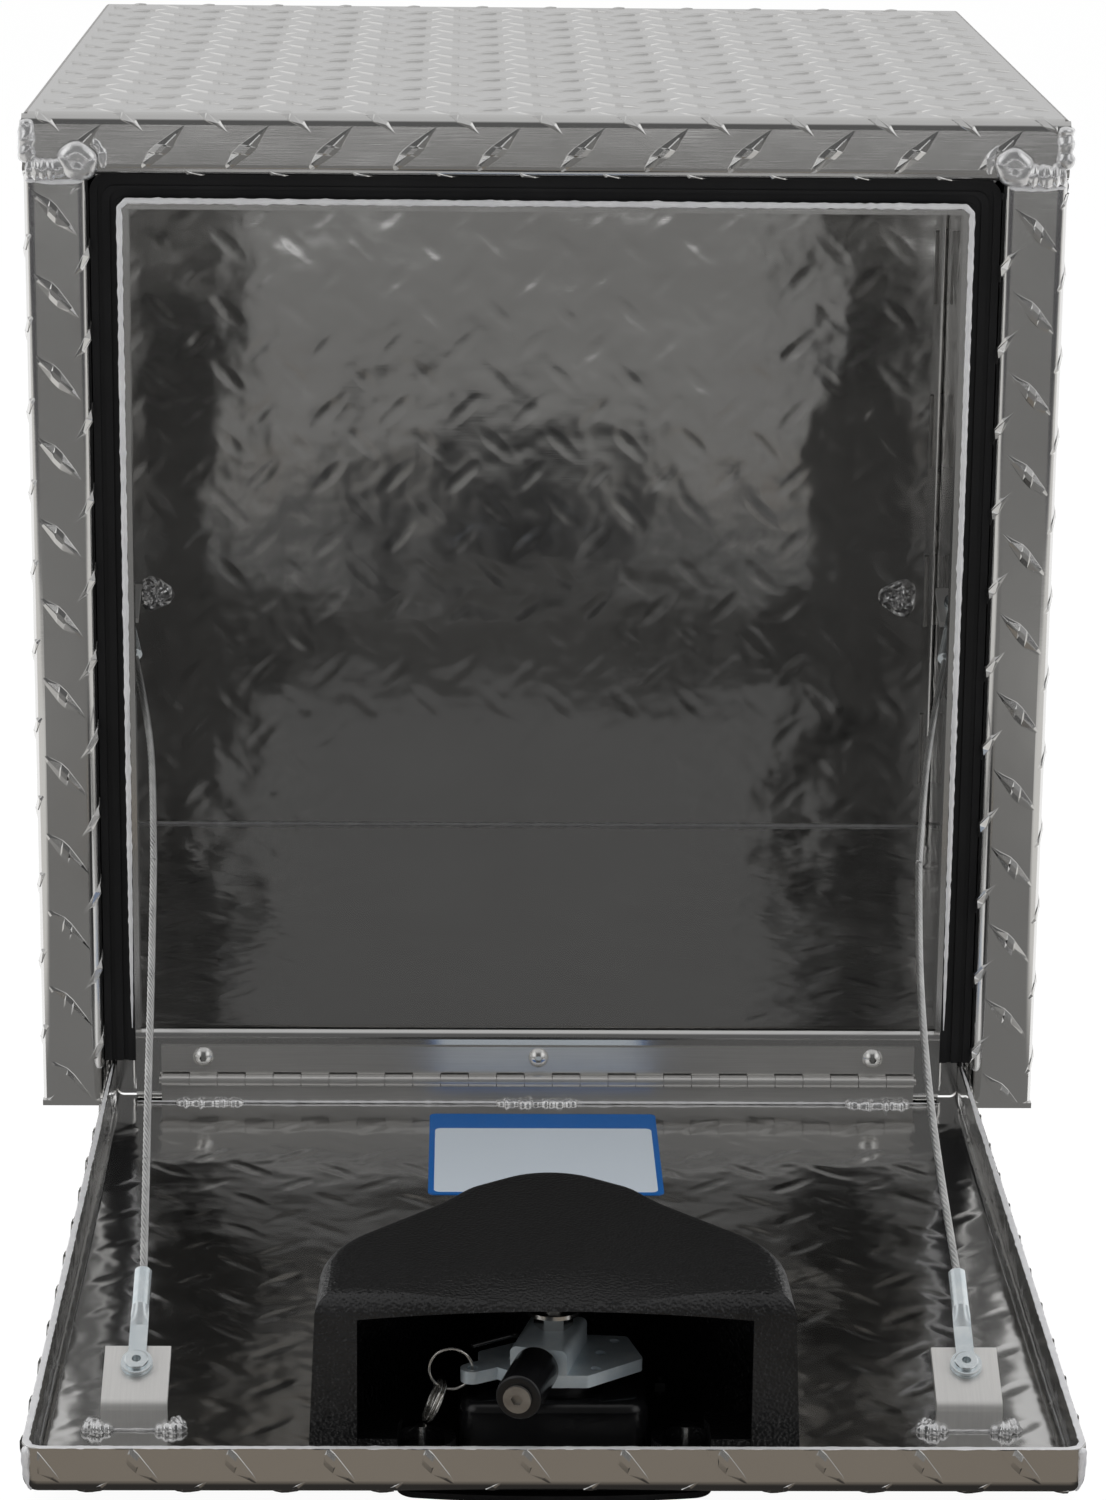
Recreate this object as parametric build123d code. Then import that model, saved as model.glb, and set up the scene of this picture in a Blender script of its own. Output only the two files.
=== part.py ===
from build123d import *
import os
from math import atan2, cos, degrees, hypot, radians, sin

# Underbody truck tool box: a folded tread plate cube with a drop-down door.
# Everything is drawn from the lower front edge of the shell: X to the right, Y to the back,
# Z up. The part's frame has its origin at the centre of the top mounting face.

# Shell
box_width = 457.2
box_depth = 457.2
box_height = 457.2
sheet = 2.5
bend = 2.5
jamb_face = 27.9
header_face = 27.2
channel_depth = 17.0
channel_width = 14.7
header_channel = 13.0
lip_setback = 5.5
back_flange = 20.0
back_panel_margin = 9.1
sill_front = 7.85
sill_height = 35.0
sill_depth = 11.65
sill_lip = 12.0
overrun = 5.0

# Door
door_side_gap = 2.5
door_top_gap = 1.5
door_flange = 19.0
door_corner = 6.0
pin_height = 11.0
pin_to_skin = 11.4

# Piano hinge
leaf = 1.5
leaf_rise = 15.9
knuckle_radius = 2.85
knuckle_pitch = 12.9
hinge_side_gap = 11.85
knuckle_gap = 0.3
pin_radius = 1.6
pin_play = 0.05
pin_overhang = 1.0
hinge_gap = 0.3
notch_clearance = 0.6

# Clearances and welds
fit = 0.3
hole_play = 0.25
seam_bead = 2.5
stitch_bead = 2.2

# Values that follow from the sizes above
half_width = box_width / 2
mid = sheet / 2
mid_bend = bend + mid
jamb_x = half_width - jamb_face
lip_x = jamb_x - channel_width
header_z = box_height - header_face
header_lip_z = header_z - header_channel
channel_back = channel_depth + sheet
pin_y = sill_front - hinge_gap - knuckle_radius
door_half = jamb_x - door_side_gap
door_reach = header_z - door_top_gap - pin_height
door_top = door_flange - sheet
flange_edge = door_top - pin_to_skin
gasket_front = pin_y + flange_edge + fit
knuckle_count = 2 * round((lip_x - hinge_side_gap) / knuckle_pitch - 1 / 2) + 1
hinge_length = knuckle_count * knuckle_pitch

door_frame = Location((0, pin_y, pin_height - pin_to_skin))


def block(x0, x1, y0, y1, z0, z1):
    """Box between two corners."""
    centre = ((x0 + x1) / 2, (y0 + y1) / 2, (z0 + z1) / 2)
    return Pos(*centre) * Box(x1 - x0, y1 - y0, z1 - z0)


def folded(plane, points, start, end):
    """Sheet folded along its centre-line points in a plane and run from start to end."""
    line = FilletPolyline(*points, radius=mid_bend)
    profile = plane * trace(line, line_width=sheet)
    along = plane.z_dir
    return Pos(*(along * start)) * extrude(profile, amount=end - start, dir=along)


def quarter_bead(radius, start, end, corner, turn, plane):
    """Quarter-round weld bead in a corner, run along the plane's normal."""
    sector = Circle(radius) & Pos(radius / 2, radius / 2) * Rectangle(radius, radius)
    placed = plane * (Pos(*corner) * (Rot(0, 0, turn) * sector))
    along = plane.z_dir
    return Pos(*(along * start)) * extrude(placed, amount=end - start, dir=along)


def mirrored(solid):
    """The left-hand twin of a right-hand piece."""
    return mirror(solid, about=Plane.YZ)


def save(name, *solids):
    """Set the solids in the part's frame and write them as one node."""
    in_frame = Location((0, -box_depth / 2, -box_height))
    pieces = [piece.moved(in_frame) for solid in solids for piece in solid.solids()]
    node = pieces[0] if len(pieces) == 1 else Compound(children=pieces)
    node.label = name
    export_step(node, f"parts/{name}.step")
    print(name, len(pieces), round(sum(piece.volume for piece in pieces), 1))


# Side panel: wall, jamb, gasket channel, lip and back flange folded from one sheet


def side_panel():
    """Right-hand side panel."""
    points = [
        (half_width - back_flange, box_depth - mid),
        (half_width - mid, box_depth - mid),
        (half_width - mid, mid),
        (jamb_x + mid, mid),
        (jamb_x + mid, channel_depth + mid),
        (lip_x - mid, channel_depth + mid),
        (lip_x - mid, lip_setback),
    ]
    panel = folded(Plane.XY, points, sheet, box_height - sheet)
    header_cut = block(
        0, half_width - sheet, -overrun, channel_back + overrun, header_z, box_height
    )
    face_cut = block(0, half_width + overrun, -overrun, sheet, header_z, box_height)
    lip_over = block(0, lip_x, -overrun, channel_back + overrun, header_lip_z, box_height)
    lip_under = block(0, lip_x, -overrun, channel_back + overrun, -overrun, sill_height)
    fold_over = block(0, lip_x + bend, -overrun, channel_depth, header_lip_z, box_height)
    return panel - header_cut - face_cut - lip_over - lip_under - fold_over


# Top panel: the mounting face, header, header channel and its lip


def top_panel():
    """Top sheet folded down into the header over the door."""
    points = [
        (box_depth, box_height - mid),
        (mid, box_height - mid),
        (mid, header_z + mid),
        (channel_depth + mid, header_z + mid),
        (channel_depth + mid, header_lip_z - mid),
        (lip_setback, header_lip_z - mid),
    ]
    panel = folded(Plane.YZ, points, -half_width, half_width)
    low = header_lip_z - sheet - overrun
    for side in (-1, 1):
        edge = sorted((side * (half_width - sheet), side * (half_width + overrun)))
        panel -= block(*edge, sheet, box_depth + overrun, low, box_height + overrun)
        edge = sorted((side * lip_x, side * (half_width + overrun)))
        panel -= block(*edge, -overrun, channel_back + overrun, low, header_z)
        edge = sorted((side * (lip_x - sheet), side * (half_width + overrun)))
        panel -= block(*edge, -overrun, channel_back + overrun, low, header_lip_z)
    return panel


# Floor panel: floor, notched ears under the jambs and the raised sill

screw_radius = 2.5
screw_z = pin_height + 10.7
screw_end_gap = 19.35
screw_span = hinge_length / 2 - screw_end_gap


def floor_panel():
    """Floor sheet with its sill folded up behind the hinge."""
    points = [
        (box_depth, mid),
        (sill_front + mid, mid),
        (sill_front + mid, sill_height - mid),
        (sill_front + sill_depth - mid, sill_height - mid),
        (sill_front + sill_depth - mid, sill_height - sill_lip),
    ]
    sill = folded(Plane.YZ, points, -lip_x, lip_x)
    for x in (-screw_span, 0, screw_span):
        hole = Pos(x, sill_front, screw_z) * Rot(90, 0, 0)
        sill -= hole * Cylinder(screw_radius + hole_play, sill_depth)
    floor = sill
    for side in (-1, 1):
        floor += block(*sorted((side * lip_x, side * half_width)), channel_depth, box_depth, 0, sheet)
        floor += block(*sorted((side * jamb_x, side * half_width)), 0, channel_depth, 0, sheet)
    return floor


def back_panel():
    """Back sheet set in front of the side panels' back flanges."""
    edge = half_width - back_panel_margin
    back = box_depth - sheet
    return block(-edge, edge, back - sheet, back, sheet, box_height - sheet)


# Welds of the shell

back_stitches = 5
back_stitch_length = 40.0
nugget_radius = 10.5
nugget_height = 6.0
nugget_inset = 22.85
nugget_z = 135.0
corner_weld_radius = 3.4
corner_weld_overlap = 1.5


def top_seam(side):
    """Outside corner weld along the edge where the top sheet meets a side panel."""
    corner = (side * (half_width - sheet), box_height - sheet)
    turn = 0 if side > 0 else 90
    bead = quarter_bead(seam_bead, 0, box_depth - sheet, corner, turn, Plane.XZ)
    return mirror(bead, about=Plane.XZ).moved(Location((0, sheet, 0)))


def back_stitch_welds():
    """Stitches between the back panel's side edges and the back flanges."""
    stitches = []
    pitch = (box_height - 2 * sheet) / back_stitches
    for side in (-1, 1):
        corner = (side * (half_width - back_panel_margin), box_depth - sheet)
        turn = -90 if side > 0 else 180
        for index in range(back_stitches):
            start = sheet + (index + 1 / 2) * pitch - back_stitch_length / 2
            end = start + back_stitch_length
            stitches.append(quarter_bead(seam_bead, start, end, corner, turn, Plane.XY))
    return stitches


def weld_nugget(x):
    """Domed weld lump on the inside of the back panel."""
    face = box_depth - 2 * sheet
    ball_radius = (nugget_radius**2 + nugget_height**2) / (2 * nugget_height)
    ball = Pos(x, face + ball_radius - nugget_height, nugget_z) * Sphere(ball_radius)
    return ball & block(x - ball_radius, x + ball_radius, face - ball_radius, face, 0, box_height)


def corner_weld(panels):
    """Weld across the joint between a jamb's top end and the header (right-hand side)."""
    bar_centre = (0, corner_weld_radius / 2, header_z + corner_weld_overlap)
    start = jamb_x + sheet
    bar = Pos(*bar_centre) * Pos((start + half_width) / 2, 0, 0) * Rot(0, 90, 0)
    bead = bar * Cylinder(corner_weld_radius, half_width - start)
    front = block(0, half_width, -corner_weld_radius, sheet, 0, box_height)
    bead = bead & front
    for panel in panels:
        bead -= panel
    return max(bead.solids(), key=lambda solid: solid.volume)


# Door gasket: ribbed sponge strip glued into the channel on three sides

gasket_corner = 8.0
gasket_inner_corner = 3.0
gasket_bottom = 18.5
gasket_rib = 1.6
gasket_rib_height = 1.0
gasket_ribs = 3


def gasket_corner_at(offset):
    """Corner radius of the strip at a distance in from its outer edge."""
    return gasket_corner - (gasket_corner - gasket_inner_corner) * offset / (header_channel - 2 * fit)


def gasket_loop(outset, inset, front, back):
    """Inverted U of the strip between two offsets from its channel walls."""
    outer_x = jamb_x - fit - outset
    outer_z = header_z - fit - outset
    width = channel_width - 2 * fit - outset - inset
    rise = header_channel - 2 * fit - outset - inset
    height = outer_z - gasket_bottom
    outer = Pos(0, gasket_bottom + height / 2) * Rectangle(2 * outer_x, height)
    outer = fillet(outer.vertices().group_by(Axis.Y)[-1], gasket_corner_at(outset))
    inner_height = height - rise
    inner = Pos(0, gasket_bottom + inner_height / 2) * Rectangle(2 * (outer_x - width), inner_height)
    inner = fillet(inner.vertices().group_by(Axis.Y)[-1], gasket_corner_at(outset + rise))
    loop = Plane.XZ * (outer - inner)
    return extrude(loop, amount=back - front, dir=(0, 1, 0)).moved(Location((0, front, 0)))


def door_gasket():
    """Strip body with lengthwise ribs on the face that the door presses."""
    body = gasket_loop(0, 0, gasket_front + gasket_rib_height, channel_depth - bend)
    body += gasket_loop(bend, bend, channel_depth - bend, channel_depth)
    room = header_channel - 2 * fit - gasket_rib
    for index in range(gasket_ribs):
        outset = room * index / (gasket_ribs - 1)
        rib = gasket_loop(outset, room - outset, gasket_front, gasket_front + gasket_rib_height)
        body += rib
    return body


# Piano hinge


def knuckles(first):
    """Centres of every second knuckle along X, from the first or the second one."""
    start = -hinge_length / 2 + knuckle_pitch / 2
    return [start + index * knuckle_pitch for index in range(first, knuckle_count, 2)]


def hinge_leaf(own, other, y0, y1, z0, z1, pin_z, centre_y):
    """Leaf plate with its rolled knuckles, notched clear of the other leaf's knuckles."""
    plate = block(-hinge_length / 2, hinge_length / 2, y0, y1, z0, z1)
    reach = knuckle_radius + notch_clearance
    rolled_length = knuckle_pitch - knuckle_gap
    barrel = Rot(0, 90, 0) * Cylinder(knuckle_radius, rolled_length)
    for x in other:
        slot = (knuckle_pitch + knuckle_gap) / 2
        plate -= block(x - slot, x + slot, y0 - overrun, y1 + overrun, pin_z - reach, pin_z + reach)
    for x in own:
        plate += Pos(x, centre_y, pin_z) * barrel
    bore = Rot(0, 90, 0) * Cylinder(pin_radius + pin_play, hinge_length + overrun)
    return plate - Pos(0, centre_y, pin_z) * bore


def hinge_box_leaf():
    """Fixed leaf, screwed to the front of the sill."""
    y1 = sill_front
    fixed = hinge_leaf(
        knuckles(1), knuckles(0), y1 - leaf, y1, pin_height, pin_height + leaf_rise, pin_height, pin_y
    )
    for x in (-screw_span, 0, screw_span):
        hole = Pos(x, sill_front, screw_z) * Rot(90, 0, 0)
        fixed -= hole * Cylinder(screw_radius + hole_play, sill_depth)
    return fixed


def hinge_door_leaf():
    """Moving leaf, welded to the door skin; drawn in the door's own frame."""
    y1 = knuckle_radius
    return hinge_leaf(knuckles(0), knuckles(1), y1 - leaf, y1, 0, pin_to_skin, pin_to_skin, 0)


def hinge_pin():
    """Pin through all the knuckles."""
    pin = Rot(0, 90, 0) * Cylinder(pin_radius, hinge_length + 2 * pin_overhang)
    return Pos(0, pin_y, pin_height) * pin


screw_head_radius = 4.75
screw_head_height = 2.75
screw_length = 9.0
socket_across = 3.0
nut_across = 8.0
nut_height = 4.0


def along_y(solid, x, y, z):
    """A solid drawn along Z, laid along Y with its foot at the point."""
    return Pos(x, y, z) * Rot(-90, 0, 0) * solid


def socket_screw(head_radius, head_height, shank_radius, length, across):
    """Button-head screw: the head's dome points down, the shank up, seat at zero."""
    dome_radius = (head_radius**2 + head_height**2) / (2 * head_height)
    dome = Pos(0, 0, dome_radius - head_height) * Sphere(dome_radius)
    head = dome & block(-head_radius, head_radius, -head_radius, head_radius, -head_height, 0)
    socket = extrude(RegularPolygon(across / 2, 6, major_radius=False), amount=head_height * 2 / 3)
    head -= Pos(0, 0, -head_height) * socket
    return head + Pos(0, 0, length / 2) * Cylinder(shank_radius, length)


def hex_nut(across, height, bore):
    """Plain hexagon nut standing on its face."""
    body = extrude(RegularPolygon(across / 2, 6, major_radius=False), amount=height)
    return body - Pos(0, 0, height / 2) * Cylinder(bore, 2 * height)


def hinge_screws():
    """Button-head screws through the fixed leaf and the sill."""
    screw = socket_screw(screw_head_radius, screw_head_height, screw_radius, screw_length, socket_across)
    return [along_y(screw, x, sill_front - leaf, screw_z) for x in (-screw_span, 0, screw_span)]


def hinge_nuts():
    """Nuts behind the sill's front wall."""
    nut = hex_nut(nut_across, nut_height, screw_radius + pin_play)
    return [along_y(nut, x, sill_front + sheet, screw_z) for x in (-screw_span, 0, screw_span)]


# Door panel, drawn in the door's own frame: X across, Y towards the hinge, Z above the skin

latch_setback = 57.5
latch_y = door_reach - latch_setback
dish_half = 36.0
dish_reach = 26.0
dish_near = latch_y - dish_reach
dish_far = latch_y + dish_reach
dish_corner = 8.0
flange_end_radius = 6.0


def pan(half, length, low, high, radius):
    """Round-edged block from the free edge to the tail."""
    form = block(-half, half, -length, pin_height, low, high)
    tail = form.faces().sort_by(Axis.Y)[-1].edges()
    top = form.faces().sort_by(Axis.Z)[-1].edges()
    kept = [edge for edge in form.edges() if edge not in tail and edge not in top]
    return fillet(kept, radius)


def door_panel():
    """Skin with folded side flanges and free edge, cut out for the latch dish."""
    outer = pan(door_half, door_reach, -sheet, door_top, door_corner)
    inner = pan(door_half - sheet, door_reach - sheet, 0, door_top + overrun, door_corner - sheet)
    panel = outer - inner
    inner_end = block(
        -door_half + door_corner, door_half - door_corner, 0, pin_height + overrun, 0, door_top + overrun
    )
    panel -= inner_end
    rear = [
        edge
        for edge in panel.edges().filter_by(Axis.X)
        if edge.center().Y > pin_height - overrun / 2 and edge.center().Z > door_top - overrun / 2
    ]
    panel = fillet(rear, flange_end_radius)
    opening = extrude(
        Pos(0, -(dish_near + dish_far) / 2)
        * RectangleRounded(2 * (dish_half + fit), dish_far - dish_near + 2 * fit, dish_corner),
        amount=sheet + 2 * overrun,
        both=True,
    )
    panel -= opening
    for x in (-dish_screw_x, dish_screw_x):
        for y in (dish_screw_near, dish_screw_far):
            panel -= Pos(x, -y, 0) * Cylinder(dish_screw_radius + hole_play, 2 * overrun)
    return panel


leaf_weld_centre_shares = (-0.873, 0, 0.905)
leaf_weld_length_shares = (0.103, 0.126, 0.098)


def leaf_welds():
    """Stitch welds between the moving leaf's foot and the skin."""
    welds = []
    corner = (knuckle_radius - leaf, 0)
    for centre_share, length_share in zip(leaf_weld_centre_shares, leaf_weld_length_shares):
        centre = centre_share * hinge_length / 2
        half_run = length_share * hinge_length / 2
        welds.append(quarter_bead(stitch_bead, centre - half_run, centre + half_run, corner, 90, Plane.YZ))
    return welds


label_near = 14.0
label_length = 101.7
label_width = 103.7
label_offset = 1.85
label_thickness = 0.3
label_corner = 3.0


def blank_label():
    """Bare stick-on label by the hinge."""
    outline = RectangleRounded(label_width, label_length, label_corner)
    return Pos(label_offset, -label_near - label_length / 2) * extrude(outline, amount=label_thickness)


# Cable hardware: a folded bracket, washer, crimped eye terminal and tubular rivet at each end

cable_slope = 25.0
bracket_width = 25.4
bracket_sheet = 3.0
bracket_side_gap = 38.0
bracket_setback = 54.5
bracket_x = door_half - bracket_side_gap
bracket_foot = door_reach - bracket_setback
bracket_leg = 10.0
bracket_plate = 28.5
rivet_from_fold = 18.5
washer_radius = 6.2
washer_thickness = 1.2
terminal_thickness = 1.5
eye_radius = 6.0
tongue_width = 7.0
ferrule_radius = 3.5
ferrule_length = 19.0
ferrule_reach = 45.4
ferrule_lift = 3.55
terminal_neck = 8.0
rivet_radius = 2.4
rivet_bore = 1.75
rivet_cap_radius = 4.65
rivet_cap = 1.4
rope_radius = 1.6
rope_gap = 0.3


def door_bracket():
    """Strip bracket welded upright on the skin, its plate sloped along the cable."""
    slope = radians(cable_slope)
    foot = -bracket_foot
    top_y = foot + bracket_plate * cos(slope)
    top_z = bracket_leg + bracket_plate * sin(slope)
    line = FilletPolyline((foot, 0), (foot, bracket_leg), (top_y, top_z), radius=bracket_sheet)
    strip = extrude(Plane.YZ * trace(line, line_width=bracket_sheet), amount=bracket_width / 2, both=True)
    hole = rivet_seat() * Cylinder(rivet_radius + pin_play, 4 * bracket_sheet)
    return strip - hole


def rivet_seat():
    """Frame on the plate's upper face at the rivet: X along the cable, Z out of the plate."""
    slope = radians(cable_slope)
    along = rivet_from_fold
    y = -bracket_foot + along * cos(slope) - bracket_sheet / 2 * sin(slope)
    z = bracket_leg + along * sin(slope) + bracket_sheet / 2 * cos(slope)
    return Plane((0, y, z), x_dir=(0, cos(slope), sin(slope)), z_dir=(0, -sin(slope), cos(slope))).location


def cable_washer():
    """Flat washer under the terminal."""
    ring = Pos(0, 0, washer_thickness / 2) * Cylinder(washer_radius, washer_thickness)
    return ring - Cylinder(rivet_radius + pin_play, 4 * washer_thickness)


def cable_rivet():
    """Tubular rivet: open shank through the bracket, clinched foot and a rolled cap."""
    seat = washer_thickness + terminal_thickness
    foot = -bracket_sheet - rivet_cap
    shank = Pos(0, 0, (seat + foot) / 2) * Cylinder(rivet_radius, seat - foot)
    cap = Pos(0, 0, seat + rivet_cap / 2) * Cylinder(rivet_cap_radius, rivet_cap)
    cap = fillet(cap.edges().group_by(Axis.Z)[-1], rivet_cap / 2)
    clinch = Pos(0, 0, foot + rivet_cap / 2) * Cylinder(rivet_cap_radius * 3 / 4, rivet_cap)
    return shank + cap + clinch - Cylinder(rivet_bore, 8 * rivet_cap + 8 * bracket_sheet)


def eye_terminal():
    """Eye, tongue and crimped ferrule, bored for the rope; drawn along X from the rivet."""
    level = washer_thickness + terminal_thickness / 2
    start = ferrule_reach - ferrule_length
    neck_start = start - terminal_neck
    eye = Pos(0, 0, level) * Cylinder(eye_radius, terminal_thickness)
    half = tongue_width / 2
    tongue = block(0, neck_start, -half, half, level - terminal_thickness / 2, level + terminal_thickness / 2)
    flat = Plane((neck_start, 0, level), x_dir=(0, 1, 0), z_dir=(1, 0, 0))
    tube = Plane((start, 0, ferrule_lift), x_dir=(0, 1, 0), z_dir=(1, 0, 0))
    neck = loft([flat * Rectangle(tongue_width, terminal_thickness), tube * Circle(ferrule_radius)])
    ferrule = extrude(tube * Circle(ferrule_radius), amount=ferrule_length)
    terminal = eye + tongue + neck + ferrule
    return terminal - Cylinder(rivet_radius + pin_play, 8 * washer_thickness)


def bracket_welds():
    """Weld lumps where the bracket's foot meets the skin, one at each edge."""
    lumps = []
    for side in (-1, 1):
        for front in (-1, 1):
            x = side * bracket_width / 2
            y = -bracket_foot + front * bracket_sheet / 2
            end = x + side * 2 * stitch_bead
            run = sorted((x - side * stitch_bead, end))
            turn = 0 if front > 0 else 90
            lumps.append(quarter_bead(stitch_bead, run[0], run[1], (y, 0), turn, Plane.YZ))
    return lumps


# Upper anchors: shelf brackets on the side walls, behind the door lips

anchor_side_gap = 42.5
anchor_setback = 43.3


def cable_ends():
    """Where the rope leaves its door ferrule (Y, Z), and the pivot at its anchor ferrule."""
    slope = radians(cable_slope)
    out = rivet_from_fold + ferrule_reach + rope_gap + rope_radius
    up = bracket_sheet / 2 + ferrule_lift
    foot_y = pin_y - bracket_foot + out * cos(slope) - up * sin(slope)
    foot_z = pin_height - pin_to_skin + bracket_leg + out * sin(slope) + up * cos(slope)
    rise = (anchor_setback - foot_y) * sin(slope) / cos(slope)
    return (foot_y, foot_z), (half_width - anchor_side_gap, anchor_setback, foot_z + rise)


cable_foot, anchor_pivot = cable_ends()
anchor_leg = 22.0
anchor_yaw = 12.0
anchor_inset = 9.0


def anchor_frame():
    """Point and axes of the right-hand shelf's upper face at the rivet."""
    slope = radians(cable_slope)
    yaw = radians(anchor_yaw)
    along = Vector(-sin(yaw), -cos(yaw) * cos(slope), -cos(yaw) * sin(slope))
    up = Vector(0, -sin(slope), cos(slope))
    point = Vector(*anchor_pivot) - along * (ferrule_reach + rope_gap + rope_radius) - up * ferrule_lift
    return point, along, up


def anchor_seat():
    """Frame on the shelf's upper face: X along the cable, Z out of the shelf."""
    point, along, up = anchor_frame()
    return Plane(point, x_dir=along, z_dir=up).location


def anchor_bracket():
    """Angle bracket: leg welded to the side wall, shelf sloped along the cable."""
    point, along, up = anchor_frame()
    slope = radians(cable_slope)
    wall = half_width - sheet
    reach = wall - point.X + anchor_inset
    corner = Vector(wall, point.Y, point.Z)
    plane = Plane(corner, x_dir=(-1, 0, 0), z_dir=(0, -cos(slope), -sin(slope)))
    line = FilletPolyline(
        (bracket_sheet / 2, anchor_leg),
        (bracket_sheet / 2, bracket_sheet / 2),
        (reach, bracket_sheet / 2),
        radius=bracket_sheet,
    )
    strip = extrude(plane * trace(line, line_width=bracket_sheet), amount=bracket_width / 2, both=True)
    hole = anchor_seat() * Cylinder(rivet_radius + pin_play, 4 * bracket_sheet)
    return strip - hole


# Wire rope: two check cables, each made in two lengths that meet at the fold point.
# Each row is a point of the rope's route: its share of the way from the door ferrule up to the
# anchor ferrule, and its share of the way out to the side.

left_lower_shares = [
    (0.0, 0.0),
    (0.13165, 0.0734),
    (0.2633, 0.1544),
    (0.39494, 0.2239),
    (0.51351, 0.2934),
    (0.63208, 0.3707),
]
left_upper_shares = [
    (0.63296, 0.3714),
    (0.75472, 0.4788),
    (0.87736, 0.6486),
    (1.0, 1.0),
]
right_lower_shares = [
    (0.0, 0.0),
    (0.13165, -0.0849),
    (0.2633, -0.1236),
    (0.39494, -0.0927),
    (0.51351, -0.0077),
    (0.63208, 0.1313),
]
right_upper_shares = [
    (0.63296, 0.1324),
    (0.75472, 0.3398),
    (0.87736, 0.6255),
    (1.0, 1.0),
]


def cable_route(side, shares):
    """Points of a rope between its door ferrule and its anchor ferrule."""
    low = Vector(bracket_x, cable_foot[0], cable_foot[1])
    way = Vector(*anchor_pivot) - low
    route = []
    for along, across in shares:
        route.append((side * (low.X + way.X * across), low.Y + way.Y * along, low.Z + way.Z * along))
    return route


def rope(name, route, root):
    """Round tube of straight runs joined by tangent arcs, with a ball at its pivot end."""
    points = [Vector(*row) for row in route]
    radii = []
    for before, here, after in zip(points, points[1:], points[2:]):
        half_turn = radians((here - before).get_angle(after - here)) / 2
        shorter = min((here - before).length, (after - here).length)
        radii.append(9 / 20 * shorter * cos(half_turn) / sin(half_turn))
    line = FilletPolyline(*points, radius=radii)
    start = Plane(points[0], z_dir=points[1] - points[0])
    tube = sweep(start * Circle(rope_radius), path=line)
    print(name, "radii", [round(radius) for radius in radii], "length", round(line.length, 1))
    return tube + Pos(*points[root]) * Sphere(rope_radius)


# Latch shroud: moulded cover over the latch, open at the front and over the skin

shroud_half = 89.5
shroud_setback = 17.5
shroud_front = door_reach - shroud_setback
shroud_shoulder_step = 1.5
shroud_side_length = 53.0
shroud_neck_share = 0.514
shroud_neck_length = 99.5
shroud_nose_share = 0.38
shroud_nose_length = 117.5
shroud_length = 143.0
shroud_height = 70.0
shroud_wall = 3.0
shroud_draft = 3.0
shroud_edge = 8.0
window_jamb = 15.5
window_half = shroud_half - window_jamb
window_height = 60.5
window_arch = 3.5
brow_jamb = 7.0
brow_half = shroud_half - brow_jamb
brow_depth = 33.0
brow_drop = 4.0
ear_inset = 39.5
ear_setback = 14.0
ear_x = shroud_half - ear_inset
ear_y = shroud_front - ear_setback
ear_radius = 13.0
ear_height = 8.0
ear_pocket = 9.0
ledge_inset = 32.0
ledge_depth = 26.0
ledge_height = 12.0
stud_radius = 2.2
stud_height = 12.0


def shroud_outline(inset, z, grow):
    """Bell-shaped plan of the cover at height z."""
    side = shroud_half - inset + grow
    shoulder = side - shroud_shoulder_step
    front = shroud_front - inset
    back = inset - grow
    neck = shroud_half * shroud_neck_share - back / 2
    nose = shroud_half * shroud_nose_share - back / 2
    half = [
        (side, -front),
        (shoulder, shroud_side_length - shroud_front - back / 2),
        (neck, shroud_neck_length - shroud_front - back / 2),
        (nose, shroud_nose_length - shroud_front - back / 2),
    ]
    apex = (0, shroud_length - shroud_front - back)
    points = [*[(-x, y) for x, y in half], apex, *reversed(half)]
    rounds = [7 * shroud_edge, 6 * shroud_edge, 3 * shroud_edge]
    line = FilletPolyline(*points, radius=[*rounds, 4 * shroud_edge, *reversed(rounds)])
    wire = Wire([*line.edges(), *Line(points[-1], points[0]).edges()])
    return Pos(0, 0, z) * make_face(wire)


def shroud_form(inset, height):
    """Drafted bell with its top edge rounded over."""
    form = loft([shroud_outline(inset, 0, shroud_draft), shroud_outline(inset, height, 0)], ruled=True)
    top = form.faces().sort_by(Axis.Z)[-1]
    return fillet(top.edges(), shroud_edge - inset)


def brow_cutter():
    """Ring above a convex surface that falls from the brow's crest towards the front."""
    crest = (brow_half**2 + brow_depth**2) / (2 * brow_depth)
    bend_radius = (brow_depth**2 + brow_drop**2) / (2 * brow_drop)
    reach = brow_depth + shroud_wall
    sinks = [bend_radius - (bend_radius**2 - run**2) ** (1 / 2) for run in (reach / 2, reach)]
    curve = ThreePointArc(
        (crest, shroud_height),
        (crest - reach / 2, shroud_height - sinks[0]),
        (crest - reach, shroud_height - sinks[1]),
    )
    rest = Polyline(
        (crest - reach, shroud_height - sinks[1]),
        (crest - reach, shroud_height + overrun),
        (crest, shroud_height + overrun),
        (crest, shroud_height),
    )
    ring = revolve(Plane.XZ * make_face(Wire([*curve.edges(), *rest.edges()])), Axis.Z)
    return Pos(0, brow_depth - shroud_front - crest) * ring


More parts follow.
